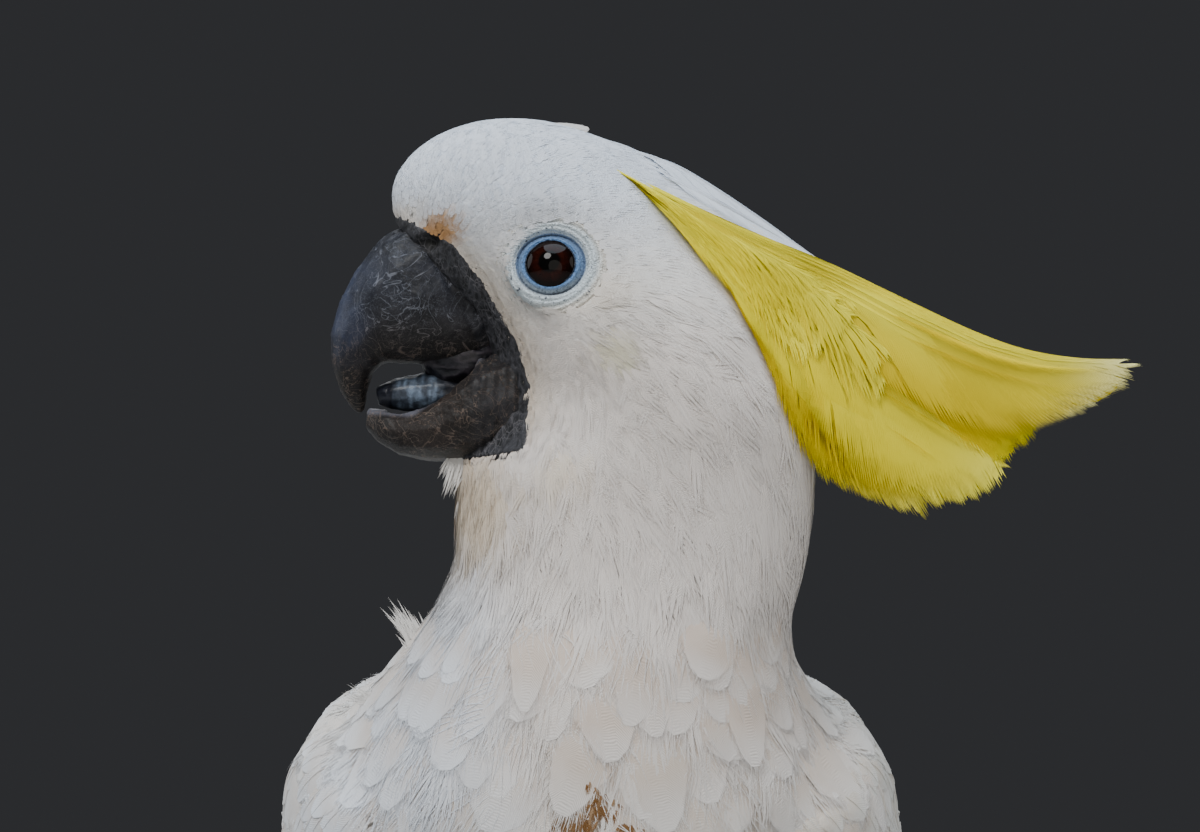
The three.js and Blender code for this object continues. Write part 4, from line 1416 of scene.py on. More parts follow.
# The rows of a folded wing, the lowest first: the shape, the number of feathers, where they lie across the wing, where
# the first and the last begin and end along it, their half width and how high the row lies, in mm.
WING_ROWS = (
    (QUILL, 8, (0.40, 0.90), (132, 118), (251, 208), 6.5, 0.0, OVER_NEXT),
    (QUILL, 13, (0.06, 0.95), (66, 58), (202, 150), 7.5, 0.7, OVER_NEXT),
    (COVERT, 14, (0.04, 0.96), (58, 46), (112, 92), 7.0, 1.6, OVER_NEXT),
    (COVERT, 14, (0.02, 0.97), (36, 28), (78, 62), 7.0, 2.2, OVER_NEXT),
    (COVERT, 3, (0.08, -0.06), (150, 140), (214, 206), 6.0, 2.2, OVER_BACK),
    (COVERT, 4, (0.12, -0.08), (108, 100), (174, 162), 7.0, 2.5, OVER_BACK),
    (COVERT, 4, (0.12, -0.10), (66, 58), (130, 118), 7.5, 2.8, OVER_BACK),
    (COVERT, 4, (0.12, -0.12), (24, 18), (88, 76), 8.0, 3.1, OVER_BACK),
)


def folded_wings():
    for name, side in SIDES.items():
        coat = Coat(f"quills_{name}")
        for vane, count, across, first, last, half, lift, tilt in WING_ROWS:
            shares, begin, end = (np.linspace(*ends, count) for ends in (across, first, last))
            wing_row(coat, vane, side, begin, end, shares, half, lift, tilt)
        coat.flush()


TAIL_SPREAD, TAIL_HALF = 21.0, 9.5  # how far the outer quills' ends stand from the middle, and a quill's half width


def tail_row(coat, vane, count, reach, lift, under):
    """Feathers along the tail, the middle ones on top, on its upper or its lower side."""
    root, end = np.array(TAIL_ROOT), np.array(TAIL_END)
    places = np.linspace(-1, 1, count)
    rows = np.linspace(0, reach, vane.rows)
    short = 1 - 0.06 * places[:, None] ** 2
    line = root + (end - root) * (rows * short)[..., None]
    middle = places[:, None] * (5 + (TAIL_SPREAD - 5) * rows)
    half = TAIL_HALF * (0.35 + 0.65 * np.minimum(rows * 2.2, 1))
    across = middle[..., None] + half[:, None] * np.array([-1, 0, 1])
    points = np.stack([across, np.repeat(line[..., :1], 3, -1), np.repeat(line[..., 1:], 3, -1)], -1)
    points = BIRD + points * MM
    way = np.array([0, TAIL_AXIS[2], -TAIL_AXIS[1]]) * (-1 if under else 1)
    found, missed = on_outside(points, way, 0.05)
    # where a line passes beside the tail, the quill keeps its own level plane
    depth = ((found - points) * way).sum(-1)
    depth[missed] = np.nan
    level = np.nanmedian(depth[:, :, 1], axis=0)[None, :, None]
    depth = np.clip(np.where(np.isnan(depth), level, depth), level - 0.6 * MM, level + 1.2 * MM)
    points = points + way * depth[..., None]
    normals = np.broadcast_to(-way, points.shape)
    order = (1 - np.abs(places)) * 1.6 + lift
    tilt = np.outer(np.sign(places), [0.4, 0, -0.4]) + [0, 0.35, 0]
    points = points + normals * (order[:, None, None] + tilt[:, None, :])[..., None] * MM
    tint = plumage_tint(points[:, -1, 1], np.full(count, "tail_middle")) * jitter(count, 0.02)[:, None]
    if under:
        tint = mix(tint, PALE_YELLOW, 0.22)
    # Painted shade: roots towards cream and edges towards tan where the quills overlap.
    coat.lay(
        vane,
        points,
        normals,
        low=np.full(count, -(0.5 + lift) * MM),
        high=np.full(count, 0.1 * MM),
        tint_root=mix(tint, CREAM, 0.35),
        tint_tip=tint,
        tint_edge=mix(tint, TAN, 0.4),
        edge_power=9,
        uv=map_places(points[:, 0, 1]),
    )


def tail_quills():
    """Twelve quills, seen from above and again from below, with a row of coverts over their roots."""
    coat = Coat("quills_tail")
    tail_row(coat, QUILL, 12, 1.0, 0.15, False)
    tail_row(coat, QUILL, 12, 1.0, 0.15, True)
    tail_row(coat, COVERT, 9, 0.44, 1.3, False)
    tail_row(coat, COVERT, 7, 0.40, 1.0, True)
    coat.flush()


# ------------------------------------------------------------------ crest

# The crest's quills in profile, from the head's centre in mm. Each guide is the line of a quill's shaft from its root
# to its tip, and how far the vane hangs below the shaft there. The guides go from the top of the crest down.
YELLOW_GUIDES = {
    0.0: [(4, 54.6, 1.5), (30, 42, 5), (54, 31.5, 13), (80, 18.5, 17), (100, 12.0, 14), (118, 11.6, 8.5)],
    0.35: [(7, 52.4, 1.5), (31, 36, 4), (50, 23.5, 11), (68, 11.5, 14), (83, 3.0, 13), (95, -4.0, 10)],
    0.6: [(10, 50, 1.5), (31, 31, 3.5), (47, 17.5, 9), (62, 6.5, 15), (76, -3.5, 15), (90, -13.0, 11)],
    0.8: [(14, 46.8, 1.5), (31, 28.5, 2.5), (40, 17, 4), (50, 5.5, 9), (60, -5.5, 12), (73, -18.0, 9)],
    1.0: [(18, 43.6, 1.5), (31, 29.5, 2), (38, 19, 3), (43.5, 7, 4), (48, -4, 5), (54, -13, 5)],
}
WHITE_GUIDES = {
    0.0: [(10, 58.0, 2), (20, 54.2, 4), (34, 45.4, 4.5), (46, 37.0, 3), (54.5, 31.2, 1)],
    1.0: [(14, 52.6, 1.5), (22, 49.5, 2), (34, 43.2, 1.8), (44, 37.5, 1.5), (53, 32, 1)],
}


def guided(guides, share):
    """The shaft line between the guides, at a share of the way from the top one down."""
    keys = sorted(guides)
    table = np.array([guides[key] for key in keys], float)
    return np.array([[np.interp(share, keys, table[:, i, j]) for j in range(3)] for i in range(table.shape[1])])


def head_half_width(x, z):
    """How far the head's side stands out from its middle plane at places in profile, in mm; nan beyond it."""
    wide = np.full(len(x), np.nan)
    for i in range(len(x)):
        start = Vector(at_head(x[i], -90, z[i]))
        hit, _, _, _ = OUTER.tree.ray_cast(start, Vector((0, 1, 0)), 0.09)
        if hit is not None:
            wide[i] = (HEAD[1] - hit[1]) / MM
    return wide


def crest_quill(guides, share, side, layer, rows, spread=1.5, length=1.0):
    """Control points of one quill: its shaft, an inner vane over the ridge and an outer one that hangs down."""
    table = guided(guides, share)
    ends = np.linspace(0, 1, len(table))
    stations = np.linspace(0, length, rows)
    weights = catmull(stations, len(table))
    line = weights @ table
    x, z, hang = line[:, 0], line[:, 1], np.maximum(line[:, 2], 1.0)
    along = unit(np.stack([np.gradient(x), np.gradient(z)], 1))
    down = np.stack([along[:, 1], -along[:, 0]], 1)
    if side:
        shaft_out = head_half_width(x, z)
        edge_out = head_half_width(x + down[:, 0] * hang, z + down[:, 1] * hang)
    else:
        shaft_out = edge_out = np.full(rows, np.nan)
    free = spread + 2.5 * (1 - stations)
    layer = layer * ramp(stations, -0.05, 0.3) * (1 - 0.5 * ramp(stations, 0.5, 1)) + 0.35 - 1.1 * ramp(stations, 0.04, 0.0)
    shaft_out = lasting(shaft_out, free, stations) + layer
    edge_out = lasting(edge_out, free + 1.2, stations) + layer + 0.1
    inner = np.stack([x - down[:, 0] * 0.2, shaft_out * 0.35 * side, z - down[:, 1] * 0.2 - 0.4], 1)
    shaft = np.stack([x, shaft_out * side, z], 1)
    outer = np.stack([x + down[:, 0] * hang, edge_out * side, z + down[:, 1] * hang], 1)
    if not side:
        half = hang * 0.42
        inner = np.stack([x + down[:, 0] * half * 0.5, -half, z + down[:, 1] * half * 0.5], 1)
        outer = np.stack([x + down[:, 0] * half * 0.5, half, z + down[:, 1] * half * 0.5], 1)
    points = np.stack([inner, shaft, outer], 1)
    return HEAD + points * MM


def lasting(values, free, stations):
    """Half widths where there is a head beside them, then a smooth run to the free spread."""
    beside = np.flatnonzero(~np.isnan(values))
    if not len(beside):
        return free
    last = beside[-1]
    held = np.interp(stations, stations[beside], values[beside], left=0.0)
    return mix(held, free, ramp(stations, stations[last], min(stations[last] + 0.35, 1.0)))


# The crest's quills lie in sheaves: the guides, each quill's share of the way between them, how far out the first one
# lies and how much further the last, in mm, how much of the guides' length they reach and how unevenly, the shape of
# their vanes, and the colours at shaft, hanging edge and tip.
FULL, SHORT = (1.0, 0.012), (0.46, 0.24)
# In each sheaf the paler shaft colour is painted light along the top of its quills and the deeper hanging edge colour
# painted shade along their lower edge; the white quills' cool tint is painted cool light from above.
SHEAVES = (
    (YELLOW_GUIDES, (0.30, 0.34, 0.38, 0.42), (0.2, 0.7), FULL, PLUME, (YELLOW, DEEP_YELLOW, OLIVE)),
    (YELLOW_GUIDES, (0.0, 0.03, 0.06, 0.10, 0.14), (1.3, 0.7), FULL, PLUME, (LEMON, DEEP_YELLOW, CREAM_YELLOW)),
    (YELLOW_GUIDES, (0.78, 0.84, 0.90, 0.95, 1.0), (0.5, 0.7), FULL, WISP, (YELLOW, DEEP_YELLOW, PALE_YELLOW)),
    (YELLOW_GUIDES, (0.66, 0.72, 0.80, 0.88), (0.9, 0.7), FULL, PLUME, (YELLOW, DEEP_YELLOW, PALE_YELLOW)),
    (YELLOW_GUIDES, (0.53, 0.57, 0.61, 0.65, 0.70), (1.9, 0.7), FULL, PLUME, (LEMON, YELLOW, PALE_YELLOW)),
    (YELLOW_GUIDES, tuple(np.linspace(0.62, 0.16, 10)), (2.1, 0.9), SHORT, WISP, (LEMON, YELLOW, LEMON)),
    (WHITE_GUIDES, tuple(np.linspace(1, 0, 9)), (-0.5, 0.25), FULL, PLUME, (COOL, COOL, COOL)),
)
CORE_UNDER = 1.1  # how far the crest's inner down lies under its solids' surface, in mm


def lay_sheaf(coat, guides, shares, level, reach, vane, tints):
    """One sheaf of quills on both sides of the crest and a few along its middle."""
    for side in (-1, 1, 0):
        chosen = shares if side else shares[::3]
        grids = []
        for number, share in enumerate(chosen):
            wander = min(max(share + RNG.normal() * 0.006, 0), 1)
            longer = reach[0] * (1 + RNG.normal() * reach[1])
            layer = level[0] + level[1] * number / len(chosen)
            grids.append(crest_quill(guides, wander, side, layer, vane.rows, length=longer))
        points = np.stack(grids)
        way = np.array([0, -side, 0.0]) if side else np.array([0, 0, -1.0])
        normals = lattice_normals(points, np.broadcast_to(way, points.shape))
        count = len(points)
        top, edge, tip = (tint * jitter(count, 0.04)[:, None] for tint in tints)
        # Painted light and shade: the paler top colour along each quill's shaft, the deeper edge colour towards its
        # edges.
        coat.lay(
            vane,
            points,
            normals,
            low=np.full(count, 0.0),
            high=np.full(count, 0.2 * MM),
            tint_root=top,
            tint_tip=tip,
            tint_edge=edge,
            edge_power=0.7,
            uv=map_places(points[:, 0, 1]),
            fade=(0.8, 1.02),
        )


def crest_core():
    """Down inside the crest, that shows where two quills part."""
    core = refined("crest_down", CREST[1:], 0.8 * MM, 6)
    verts, _ = mesh_arrays(core)
    p = from_head(verts)
    carved(core, -CORE_UNDER - 2.0 * ramp(p[:, 0], 45, 95))
    set_tint(core.data, np.broadcast_to(YELLOW, verts.shape))
    core.data.materials.clear()
    core.data.materials.append(YELLOW_FEATHERS)
    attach(core, "root")


def build_crest():
    """Long yellow quills fanned down both sides, under shorter white ones from the forehead."""
    crest_core()
    yellow = Coat("crest_yellow", "plumage_yellow")
    yellow.material = YELLOW_FEATHERS
    white = Coat("crest_white_quills", "plumage_white")
    for guides, *sheaf in SHEAVES:
        lay_sheaf(yellow if guides is YELLOW_GUIDES else white, guides, *sheaf)
    yellow.flush()
    white.flush()
    for node in CREST:
        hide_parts(node)


# ------------------------------------------------------------------ eyes and the bare skin round them

IRIS = 5.6 * MM  # the radius of the eye that shows between the lids
PUPIL = 2.3 * MM


def eye_frame(side):
    """An eye's middle, the way that it looks, and two axes square to that."""
    look = EYE_LOOK * np.array([1, side, 1])
    up = in_plane(np.array([0.0, 0, 1]), look)
    return centre(f"eye_{'left' if side < 0 else 'right'}"), look, up, np.cross(look, up)


def disc(rings, spokes):
    """Quads of a polar grid whose vertices run ring by ring."""
    ring, spoke = np.meshgrid(np.arange(rings - 1), np.arange(spokes), indexing="ij")
    a, b = ring * spokes + spoke, ring * spokes + (spoke + 1) % spokes
    return np.stack([a, b, b + spokes, a + spokes], -1).reshape(-1, 4)


def build_eye(name, side):
    middle, look, up, across = eye_frame(side)
    rings, spokes = 40, 72
    angle = np.linspace(0.001, math.radians(125), rings)
    turn = np.linspace(0, 2 * math.pi, spokes, endpoint=False)
    away = np.sin(angle)[:, None] * EYE_RADIUS
    front = np.cos(angle)[:, None] * EYE_RADIUS
    bulge = 0.35 * MM * np.exp(-((away / (0.7 * IRIS)) ** 2)) * (front > 0)
    flat = np.cos(turn)[:, None] * across + np.sin(turn)[:, None] * up
    verts = middle + away[..., None] * flat[None] + (front + bulge)[..., None] * look
    reach = np.broadcast_to(away, (rings, spokes))
    fleck = np.array([noise.noise(Vector((7 * math.cos(t), 7 * math.sin(t), 0))) for t in turn])
    iris = mix(np.array([0.018, 0.0035, 0.002]), np.array([0.004, 0.0015, 0.001]), ramp(reach, 0.5 * IRIS, 0.9 * IRIS))
    iris = iris * (1 + 0.5 * fleck[None, :, None])
    tint = mix(np.array([0.002, 0.002, 0.002]), iris, ramp(reach, PUPIL, PUPIL * 1.15))
    eye = make_object(
        f"eyeball_{name}", verts.reshape(-1, 3), disc(rings, spokes), eye_material(), tint.reshape(-1, 3)
    )
    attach(eye, "root")
    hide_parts(f"eye_{name}")


RING_END = 12.6  # how far from the eye's middle the bare skin reaches under the feathers, in mm
LID_EDGE = 5.45  # where the lids' rim begins
LID_INNER = 5.0  # where the lids go under, against the eye


def lid_height(r, turn):
    """How far the lids and folds stand over the plain surface at r mm from the eye's middle."""
    rim = 0.75 * np.exp(-(((r - 5.95) / 0.45) ** 2))
    groove = -0.45 * np.exp(-(((r - 7.0) / 0.22) ** 2))
    fold = 0.40 * np.exp(-(((r - 7.8) / 0.45) ** 2))
    phase = r * 4.3 + 0.9 * np.sin(turn * 2 + 0.6) + 0.5 * np.sin(turn * 3 - r)
    ripples = 0.17 * np.sin(phase) * ramp(r, 8.2, 9.0) * ramp(r, 12.2, 10.5)
    beads = 0.10 * np.sin(turn * 46 + r) * np.exp(-(((r - 6.9) / 0.35) ** 2))
    return rim + groove + fold + ripples + beads


def build_eye_ring(name, side):
    """Lids and folded bare skin, from the eyeball out to under the feathers."""
    middle, look, up, across = eye_frame(side)
    rings, spokes = 90, 200
    inner = np.linspace(LID_INNER, LID_EDGE, 6, endpoint=False)
    r = np.concatenate([inner, np.linspace(LID_EDGE, RING_END, rings - 6)])
    turn = np.linspace(0, 2 * math.pi, spokes, endpoint=False)
    oval = 1 + 0.055 * np.cos(2 * turn)[None]
    r_grid = np.repeat(r[:, None], spokes, 1)
    flat = np.cos(turn)[:, None] * across + np.sin(turn)[:, None] * up
    sideways = (r_grid * oval)[..., None] * flat[None] * MM
    hits, missed = on_outside(middle + sideways, -look, 0.03)
    surface = ((hits - middle) * look).sum(-1) / MM
    surface[missed] = np.nan
    settled_height = np.nanmedian(surface, axis=1)
    surface = np.where(np.isnan(surface), settled_height[:, None], surface)
    ball = np.sqrt(np.maximum((EYE_RADIUS / MM) ** 2 - r_grid**2, 0))
    height = mix(ball + 0.1, surface - 0.25, ramp(r_grid, LID_EDGE - 0.1, 8.5))
    height = height + lid_height(r_grid, turn[None]) * ramp(r_grid, LID_INNER, LID_EDGE + 0.25)
    height = height - 0.7 * ramp(r_grid, 11.6, RING_END)
    verts = middle + sideways + (height * MM)[..., None] * look
    blue = np.array([0.13, 0.27, 0.54])
    pale = np.array([0.66, 0.75, 0.80])
    tint = mix(np.array([0.02, 0.03, 0.05]), blue, ramp(r_grid, 5.15, 5.55))
    below = ramp(np.sin(turn), 0.0, -0.8)[None]
    tint = mix(tint, np.array([0.42, 0.48, 0.53]), ramp(r_grid, 5.7, 6.5) * (0.25 + 0.65 * below))
    # Painted shade: a dark line in the groove between the lids' rim and the fold.
    line = np.exp(-(((r_grid - 6.95) / 0.2) ** 2))
    tint = mix(tint, pale, ramp(r_grid, 7.05, 7.5))
    tint = mix(tint, np.array([0.10, 0.13, 0.19]), line * (0.35 + 0.35 * np.abs(np.sin(turn))[None]))
    tint = mix(tint, CREAM * 1.03, ramp(r_grid, 9.0, 11.5) * 0.75)
    # Painted light and shade of the relief: darker in the grooves of lids and folds, lighter on their ridges.
    phase = lid_height(r_grid, turn[None])
    tint = tint * (0.86 + 0.14 * ramp(phase, -0.15, 0.12))[..., None]
    ring = make_object(
        f"eye_skin_{name}", verts.reshape(-1, 3), disc(rings, spokes), LIDS, tint.reshape(-1, 3)
    )
    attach(ring, "root")
    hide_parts(f"eye_ring_{name}")


# ------------------------------------------------------------------ bill

# Where the feathers stop behind the bill, in profile from the head's centre: the same curve on both sides.
BARE_EDGE_Z = [-10.4, -8.9, -7.4, -3.5, 6.4, 15.0, 22.4, 30.6, 37.4, 43.1]
BARE_EDGE_X = [-36.0, -24.0, -14.8, -14.0, -13.6, -15.8, -20.0, -24.9, -30.4, -41.4]
# Where the horn of the upper bill ends and bare skin begins.
HORN_EDGE_Z = [16.0, 22.9, 32.1, 37.0, 40.9]
HORN_EDGE_X = [-24.5, -27.9, -33.0, -37.5, -43.0]
# The lower bill's cutting edge, in the same profile.
RIM_X = [-48.7, -38.9, -33.8, -28.5, -23.1]
RIM_Z = [1.3, 1.1, 4.5, 9.0, 13.3]
NOSTRIL = (-35.0, 37.8)
UNDER_FEATHERS = 3.0  # how far the bare skin runs on below the feathers, in mm


def bare_margin(p):
    """How far places, in mm from the head's centre, lie beyond the bare face into the feathers; less than 0 on it."""
    edge = np.interp(p[:, 2], BARE_EDGE_Z, BARE_EDGE_X)
    return np.maximum(p[:, 0] - edge, np.maximum(p[:, 2] - BARE_EDGE_Z[-1], BARE_EDGE_Z[0] - p[:, 2]))


def noise_at(points, scale, seed=0.0):
    """Smooth noise at points, about -1..1."""
    offset = Vector((seed, seed * 1.7, -seed))
    return np.array([noise.noise(Vector(p) * scale + offset) for p in np.asarray(points).tolist()])


def wrinkles(points, scale, seed=0.0):
    """Ridged noise: 1 on the ridges, towards 0 between."""
    return 1 - np.abs(noise_at(points, scale, seed)) * 2


def carved(obj, height):
    """Moves an object's vertices out along their normals by height, in mm."""
    verts, _ = mesh_arrays(obj)
    place_vertices(obj, verts + vertex_normals(obj) * height[:, None] * MM)


def bill_tint(p, horn):
    """Blue-grey on the ridge and dark in the middle, brown low down; near black on bare skin."""
    high = ramp(p[:, 2], 14, 30)
    cloud = noise_at(p, 0.11, 3.0)
    tint = mix(np.array([0.010, 0.0085, 0.0085]), np.array([0.014, 0.016, 0.024]), high)
    ridge = ramp(p[:, 0], -45, -57) * ramp(p[:, 2], 8, 20)
    tint = mix(tint, np.array([0.036, 0.048, 0.092]), ridge * 0.8)
    tint = tint * (1 + 0.35 * cloud)[:, None]
    return mix(np.array([0.020, 0.021, 0.026]), tint, horn)


def build_bill_upper():
    bill = refined("upper_bill", ["bill_upper"], 0.5 * MM, 5)
    verts, _ = mesh_arrays(bill)
    p = from_head(verts)
    edge = np.interp(p[:, 2], HORN_EDGE_Z, HORN_EDGE_X)
    horn = ramp(p[:, 0] - edge, 0.5, -0.5)
    flakes = wrinkles(p, 0.30, 5.0)
    growth = np.sin(np.hypot(p[:, 0] + 22, p[:, 2] - 28) * 2.1 + noise_at(p, 0.15) * 3)
    height = 0.06 * growth + 0.16 * ramp(flakes, 0.86, 1.0) + 0.35 * horn
    height = height + (1 - horn) * 0.25 * wrinkles(p, 0.55, 2.0)
    carved(bill, height)
    set_tint(bill.data, bill_tint(p, horn))
    bill.data.materials.clear()
    bill.data.materials.append(BILL_HORN)
    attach(bill, "root")
    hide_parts("bill_upper")


def build_bill_lower():
    """The lower bill: a raised cutting edge with a painted highlight, a sunk side plate and an upright wrinkled collar
    behind.
    """
    bill = refined("lower_bill", ["bill_lower"], 0.5 * MM, 4)
    verts, _ = mesh_arrays(bill)
    p = from_head(verts)
    collar = ramp(p[:, 0], -27, -24)
    rim = ramp(np.abs(p[:, 2] - np.interp(p[:, 0], RIM_X, RIM_Z)), 1.5, 0.4) * (p[:, 0] < RIM_X[-1])
    upright = np.sin(p[:, 0] * 2.6 + noise_at(p, 0.2, 4.0) * 4)
    plate = ramp(np.hypot((p[:, 0] + 36) / 9, (p[:, 2] - 0) / 9), 1.0, 0.8)
    height = 0.22 * rim + 0.25 * collar + collar * 0.16 * upright - 0.25 * plate + 0.14 * ramp(wrinkles(p, 0.32, 7.0), 0.86, 1.0)
    carved(bill, height)
    tint = bill_tint(p - [0, 0, 2], 1 - 0.55 * collar)
    tint = mix(tint, np.array([0.016, 0.011, 0.009]), plate * 0.6)
    # Painted highlight: a pale line along the raised cutting edge.
    tint = mix(tint, np.array([0.13, 0.135, 0.17]), rim * 0.75)
    under = ramp(p[:, 2], -6.5, -9.0)
    tint = mix(tint, np.array([0.10, 0.10, 0.095]), under * 0.5)
    set_tint(bill.data, tint)
    bill.data.materials.clear()
    bill.data.materials.append(BILL_HORN)
    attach(bill, "root")
    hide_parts("bill_lower")


TONGUE_KNOB = 3.0  # how far its dark round end comes forward, in mm


def build_tongue():
    tongue = refined("tongue_flesh", ["tongue"], 0.45 * MM, 6)
    verts, _ = mesh_arrays(tongue)
    p = from_head(verts)
    p[:, 0] -= TONGUE_KNOB * ramp(p[:, 0], -35, -44)
    place_vertices(tongue, HEAD + p * MM)
    carved(tongue, 0.06 * np.sin(p[:, 0] * 1.6 + noise_at(p, 0.3) * 5) + 0.12 * wrinkles(p, 0.45))
    # Painted highlight: a band of blue-white streaks along the tongue's middle, the shine of its wet surface.
    painted_highlight = ramp(p[:, 0], -43.6, -42.0) * ramp(p[:, 0], -31, -35)
    streaks = ramp(noise_at(p * [2.2, 1, 0.5], 0.5, 2.0), -0.3, 0.4)
    tint = mix(np.array([0.012, 0.014, 0.022]), np.array([0.17, 0.23, 0.32]), painted_highlight * (0.2 + 0.8 * streaks))
    set_tint(tongue.data, tint)
    tongue.data.materials.clear()
    tongue.data.materials.append(WET)
    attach(tongue, "root")
    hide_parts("tongue")


MOUTH = ((-27.5, 0.0, 12.5), (9.5, 6.8, 6.5))  # the middle and half sizes of the flesh that closes the gape


def build_mouth():
    """Dark flesh at the back of the mouth, between the bill's halves."""
    mesh = bmesh.new()
    bmesh.ops.create_icosphere(mesh, subdivisions=5, radius=1.0)
    data = bpy.data.meshes.new("mouth_flesh")
    mesh.to_mesh(data)
    mesh.free()
    flesh = bpy.data.objects.new("mouth_flesh", data)
    bpy.context.scene.collection.objects.link(flesh)
    verts, _ = mesh_arrays(flesh)
    middle, half = map(np.array, MOUTH)
    place_vertices(flesh, HEAD + (middle + verts * half) * MM)
    p = from_head(mesh_arrays(flesh)[0])
    folds = wrinkles(p * [0.5, 1, 1], 0.5, 6.0)
    carved(flesh, 0.35 * folds)
    # Painted light and shade of the folds: lighter on their ridges, darker between.
    set_tint(flesh.data, mix(np.array([0.010, 0.010, 0.014]), np.array([0.035, 0.030, 0.038]), ramp(folds, 0.4, 1.0)))
    data.polygons.foreach_set("use_smooth", np.full(len(data.polygons), True))
    data.materials.append(WET)
    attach(flesh, "root")


def build_bare_face():
    """Dark creased skin over the bill's root and down to the gape, with the nostrils sunk in it."""
    face = body.copy()
    face.data = body.data.copy()
    face.name = face.data.name = "bare_face"
    bpy.context.scene.collection.objects.link(face)
    mesh = bmesh.new()
    mesh.from_mesh(face.data)
    centres = from_head(np.array([f.calc_center_median() for f in mesh.faces]))
    inside = bare_margin(centres) < UNDER_FEATHERS
    bmesh.ops.delete(mesh, geom=[f for f, keep in zip(mesh.faces, inside) if not keep], context="FACES")
    mesh.to_mesh(face.data)
    mesh.free()
    modified(face, ("SUBSURF", {"levels": 2, "render_levels": 2}))
    finish_bare(face, 0.15)
    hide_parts("cere")


def finish_bare(obj, proud):
    """Gives bare skin its creases, nostrils, colour and material."""
    verts, _ = mesh_arrays(obj)
    p = from_head(verts)
    creases = 0.20 * ramp(wrinkles(p * [1.0, 0.5, 0.4], 0.75, 1.0), 0.1, 1.0) + 0.08 * wrinkles(p, 1.4, 3.0)
    from_nostril = np.hypot((p[:, 0] - NOSTRIL[0]) / 2.3, (p[:, 2] - NOSTRIL[1]) / 1.9)
    nostril = np.exp(-(from_nostril**2) * 1.1)
    rim = np.exp(-(((from_nostril - 1.35) / 0.35) ** 2))
    under = ramp(bare_margin(p), -0.2, UNDER_FEATHERS)
    carved(obj, proud + creases - 2.4 * nostril + 0.35 * rim - 2.0 * under)
    tint = mix(np.array([0.008, 0.009, 0.011]), np.array([0.036, 0.037, 0.044]), ramp(creases, 0.0, 0.26))
    # Painted shade: the nostrils' hollows near black.
    tint = mix(tint, np.array([0.003, 0.003, 0.003]), np.clip(nostril * 1.6, 0, 1))
    set_tint(obj.data, tint)
    obj.data.materials.clear()
    obj.data.materials.append(BARE_SKIN)
    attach(obj, "root")


# ------------------------------------------------------------------ feet


def scale_relief(p, size):
    """Rounded scales: the height over their seams, 0..1, for places in mm."""
    height = np.empty(len(p))
    for i, place in enumerate((p / size).tolist()):
        distances, _ = noise.voronoi(Vector(place))
        height[i] = distances[1] - distances[0]
    return ramp(height, 0.02, 0.45)


def build_feet():
    for side in SIDES:
        foot = refined(f"foot_{side}", [f"leg_{side}_foot"], 0.65 * MM, 4)
        verts, _ = mesh_arrays(foot)
        p = from_head(verts)
        scales = scale_relief(p * [1, 1, 1.25], 2.1)
        soles = ramp(p[:, 2], 1.2 - HEAD[2] / MM, 0.2 - HEAD[2] / MM)
        carved(foot, (0.38 * scales - 0.12) * (1 - soles))
        tint = mix(np.array([0.012, 0.012, 0.014]), np.array([0.085, 0.082, 0.084]), scales * 0.9)
        set_tint(foot.data, tint)
        foot.data.materials.clear()
        foot.data.materials.append(SCALES)
        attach(foot, "root")
        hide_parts(f"leg_{side}_foot")
        for toe in TOES:
            claw = refined(f"horn_{side}_{toe}", [f"claw_{side}_{toe}"], 0.3 * MM, 3)
            claw.data.materials.clear()
            claw.data.materials.append(CLAW_HORN)
            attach(claw, "root")
            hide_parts(f"claw_{side}_{toe}")


# ------------------------------------------------------------------ stage


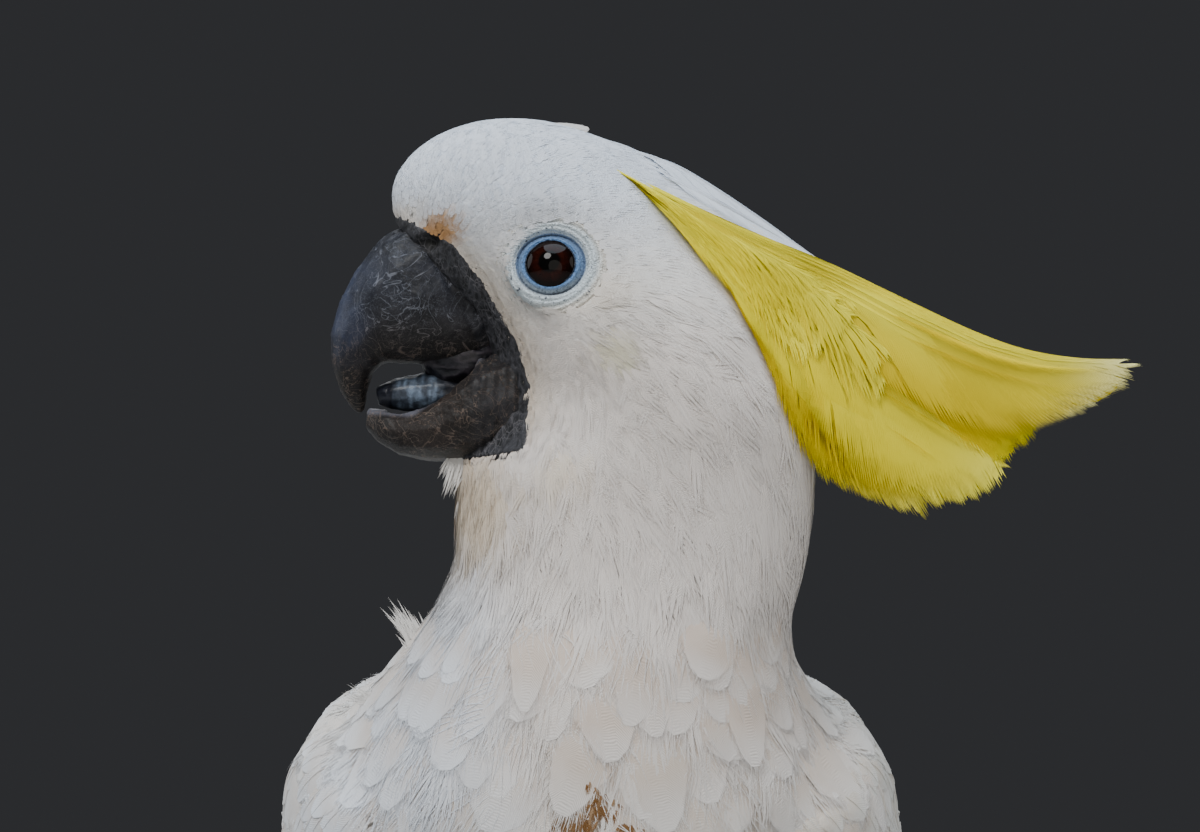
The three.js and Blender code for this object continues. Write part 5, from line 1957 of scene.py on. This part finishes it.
def build_stage():
    floor_mesh = bmesh.new()
    bmesh.ops.create_circle(floor_mesh, cap_ends=True, segments=96, radius=2.1)
    mesh = bpy.data.meshes.new("floor")
    floor_mesh.to_mesh(mesh)
    floor_mesh.free()
    floor = bpy.data.objects.new("floor", mesh)
    bpy.context.scene.collection.objects.link(floor)
    paint = Paint("floor", {"Roughness": 0.85})
    paint.colour(paint.blend((0.33, 0.325, 0.315), (0.36, 0.355, 0.345), paint.noise(6.0, 3.0)))
    mesh.materials.append(paint.material)

    world = bpy.data.worlds.new("studio")
    world.use_nodes = True
    world.node_tree.nodes["Background"].inputs["Color"].default_value = (0.030, 0.031, 0.034, 1)
    world.node_tree.nodes["Background"].inputs["Strength"].default_value = 1.0
    bpy.context.scene.world = world

    target = HEAD + np.array([0, 0, -60 * MM])
    lights = (
        ("key", (-0.7, -1.4, 1.9), 1.0, 38, (1.0, 0.99, 0.97)),
        ("sky", (0.1, -0.2, 2.2), 2.0, 40, (0.76, 0.88, 1.0)),
        ("front", (0.4, -2.6, 0.5), 2.4, 14, (1.0, 0.94, 0.86)),
        ("side", (2.2, -0.4, 0.9), 1.6, 10, (1.0, 0.97, 0.94)),
        ("rear", (0.3, 2.4, 1.5), 2.2, 17, (0.95, 0.97, 1.0)),
        ("far_side", (-2.2, 0.5, 0.9), 1.6, 12, (0.94, 0.97, 1.0)),
    )
    for name, place, size, power, colour in lights:
        data = bpy.data.lights.new(name, "AREA")
        data.shape, data.size, data.energy, data.color = "DISK", size, power, colour
        lamp = bpy.data.objects.new(name, data)
        lamp.location = place
        lamp.rotation_euler = (Vector(target) - Vector(place)).to_track_quat("-Z", "Y").to_euler()
        bpy.context.scene.collection.objects.link(lamp)


VIEW_WIDTH = 0.264  # of what the camera frames, at the bird's head
VIEW_MIDDLE = 2.2 * MM  # of the frame, from the head's centre towards the crest
LENS, SENSOR = 200.0, 36.0


def build_camera():
    data = bpy.data.cameras.new("camera")
    data.lens, data.sensor_width = LENS, SENSOR
    data.clip_end = 50
    camera = bpy.data.objects.new("camera", data)
    camera.location = HEAD + np.array([VIEW_MIDDLE, -VIEW_WIDTH * LENS / SENSOR, 0])
    camera.rotation_euler = (math.radians(90), 0, 0)
    bpy.context.scene.collection.objects.link(camera)
    bpy.context.scene.camera = camera


build_stage()
build_camera()
for eye_name, eye_side in EYE_SIDES.items():
    build_eye(eye_name, eye_side)
    build_eye_ring(eye_name, eye_side)
build_bare_face()
build_mouth()
build_bill_upper()
build_bill_lower()
build_tongue()
build_feet()
build_skin()
head_tufts()
face_fringe()
body_feathers()
ankle_cuffs()
loose_barbs()
breast_stain()
stray_feathers()
wing_feathers()
folded_wings()
tail_quills()
build_crest()
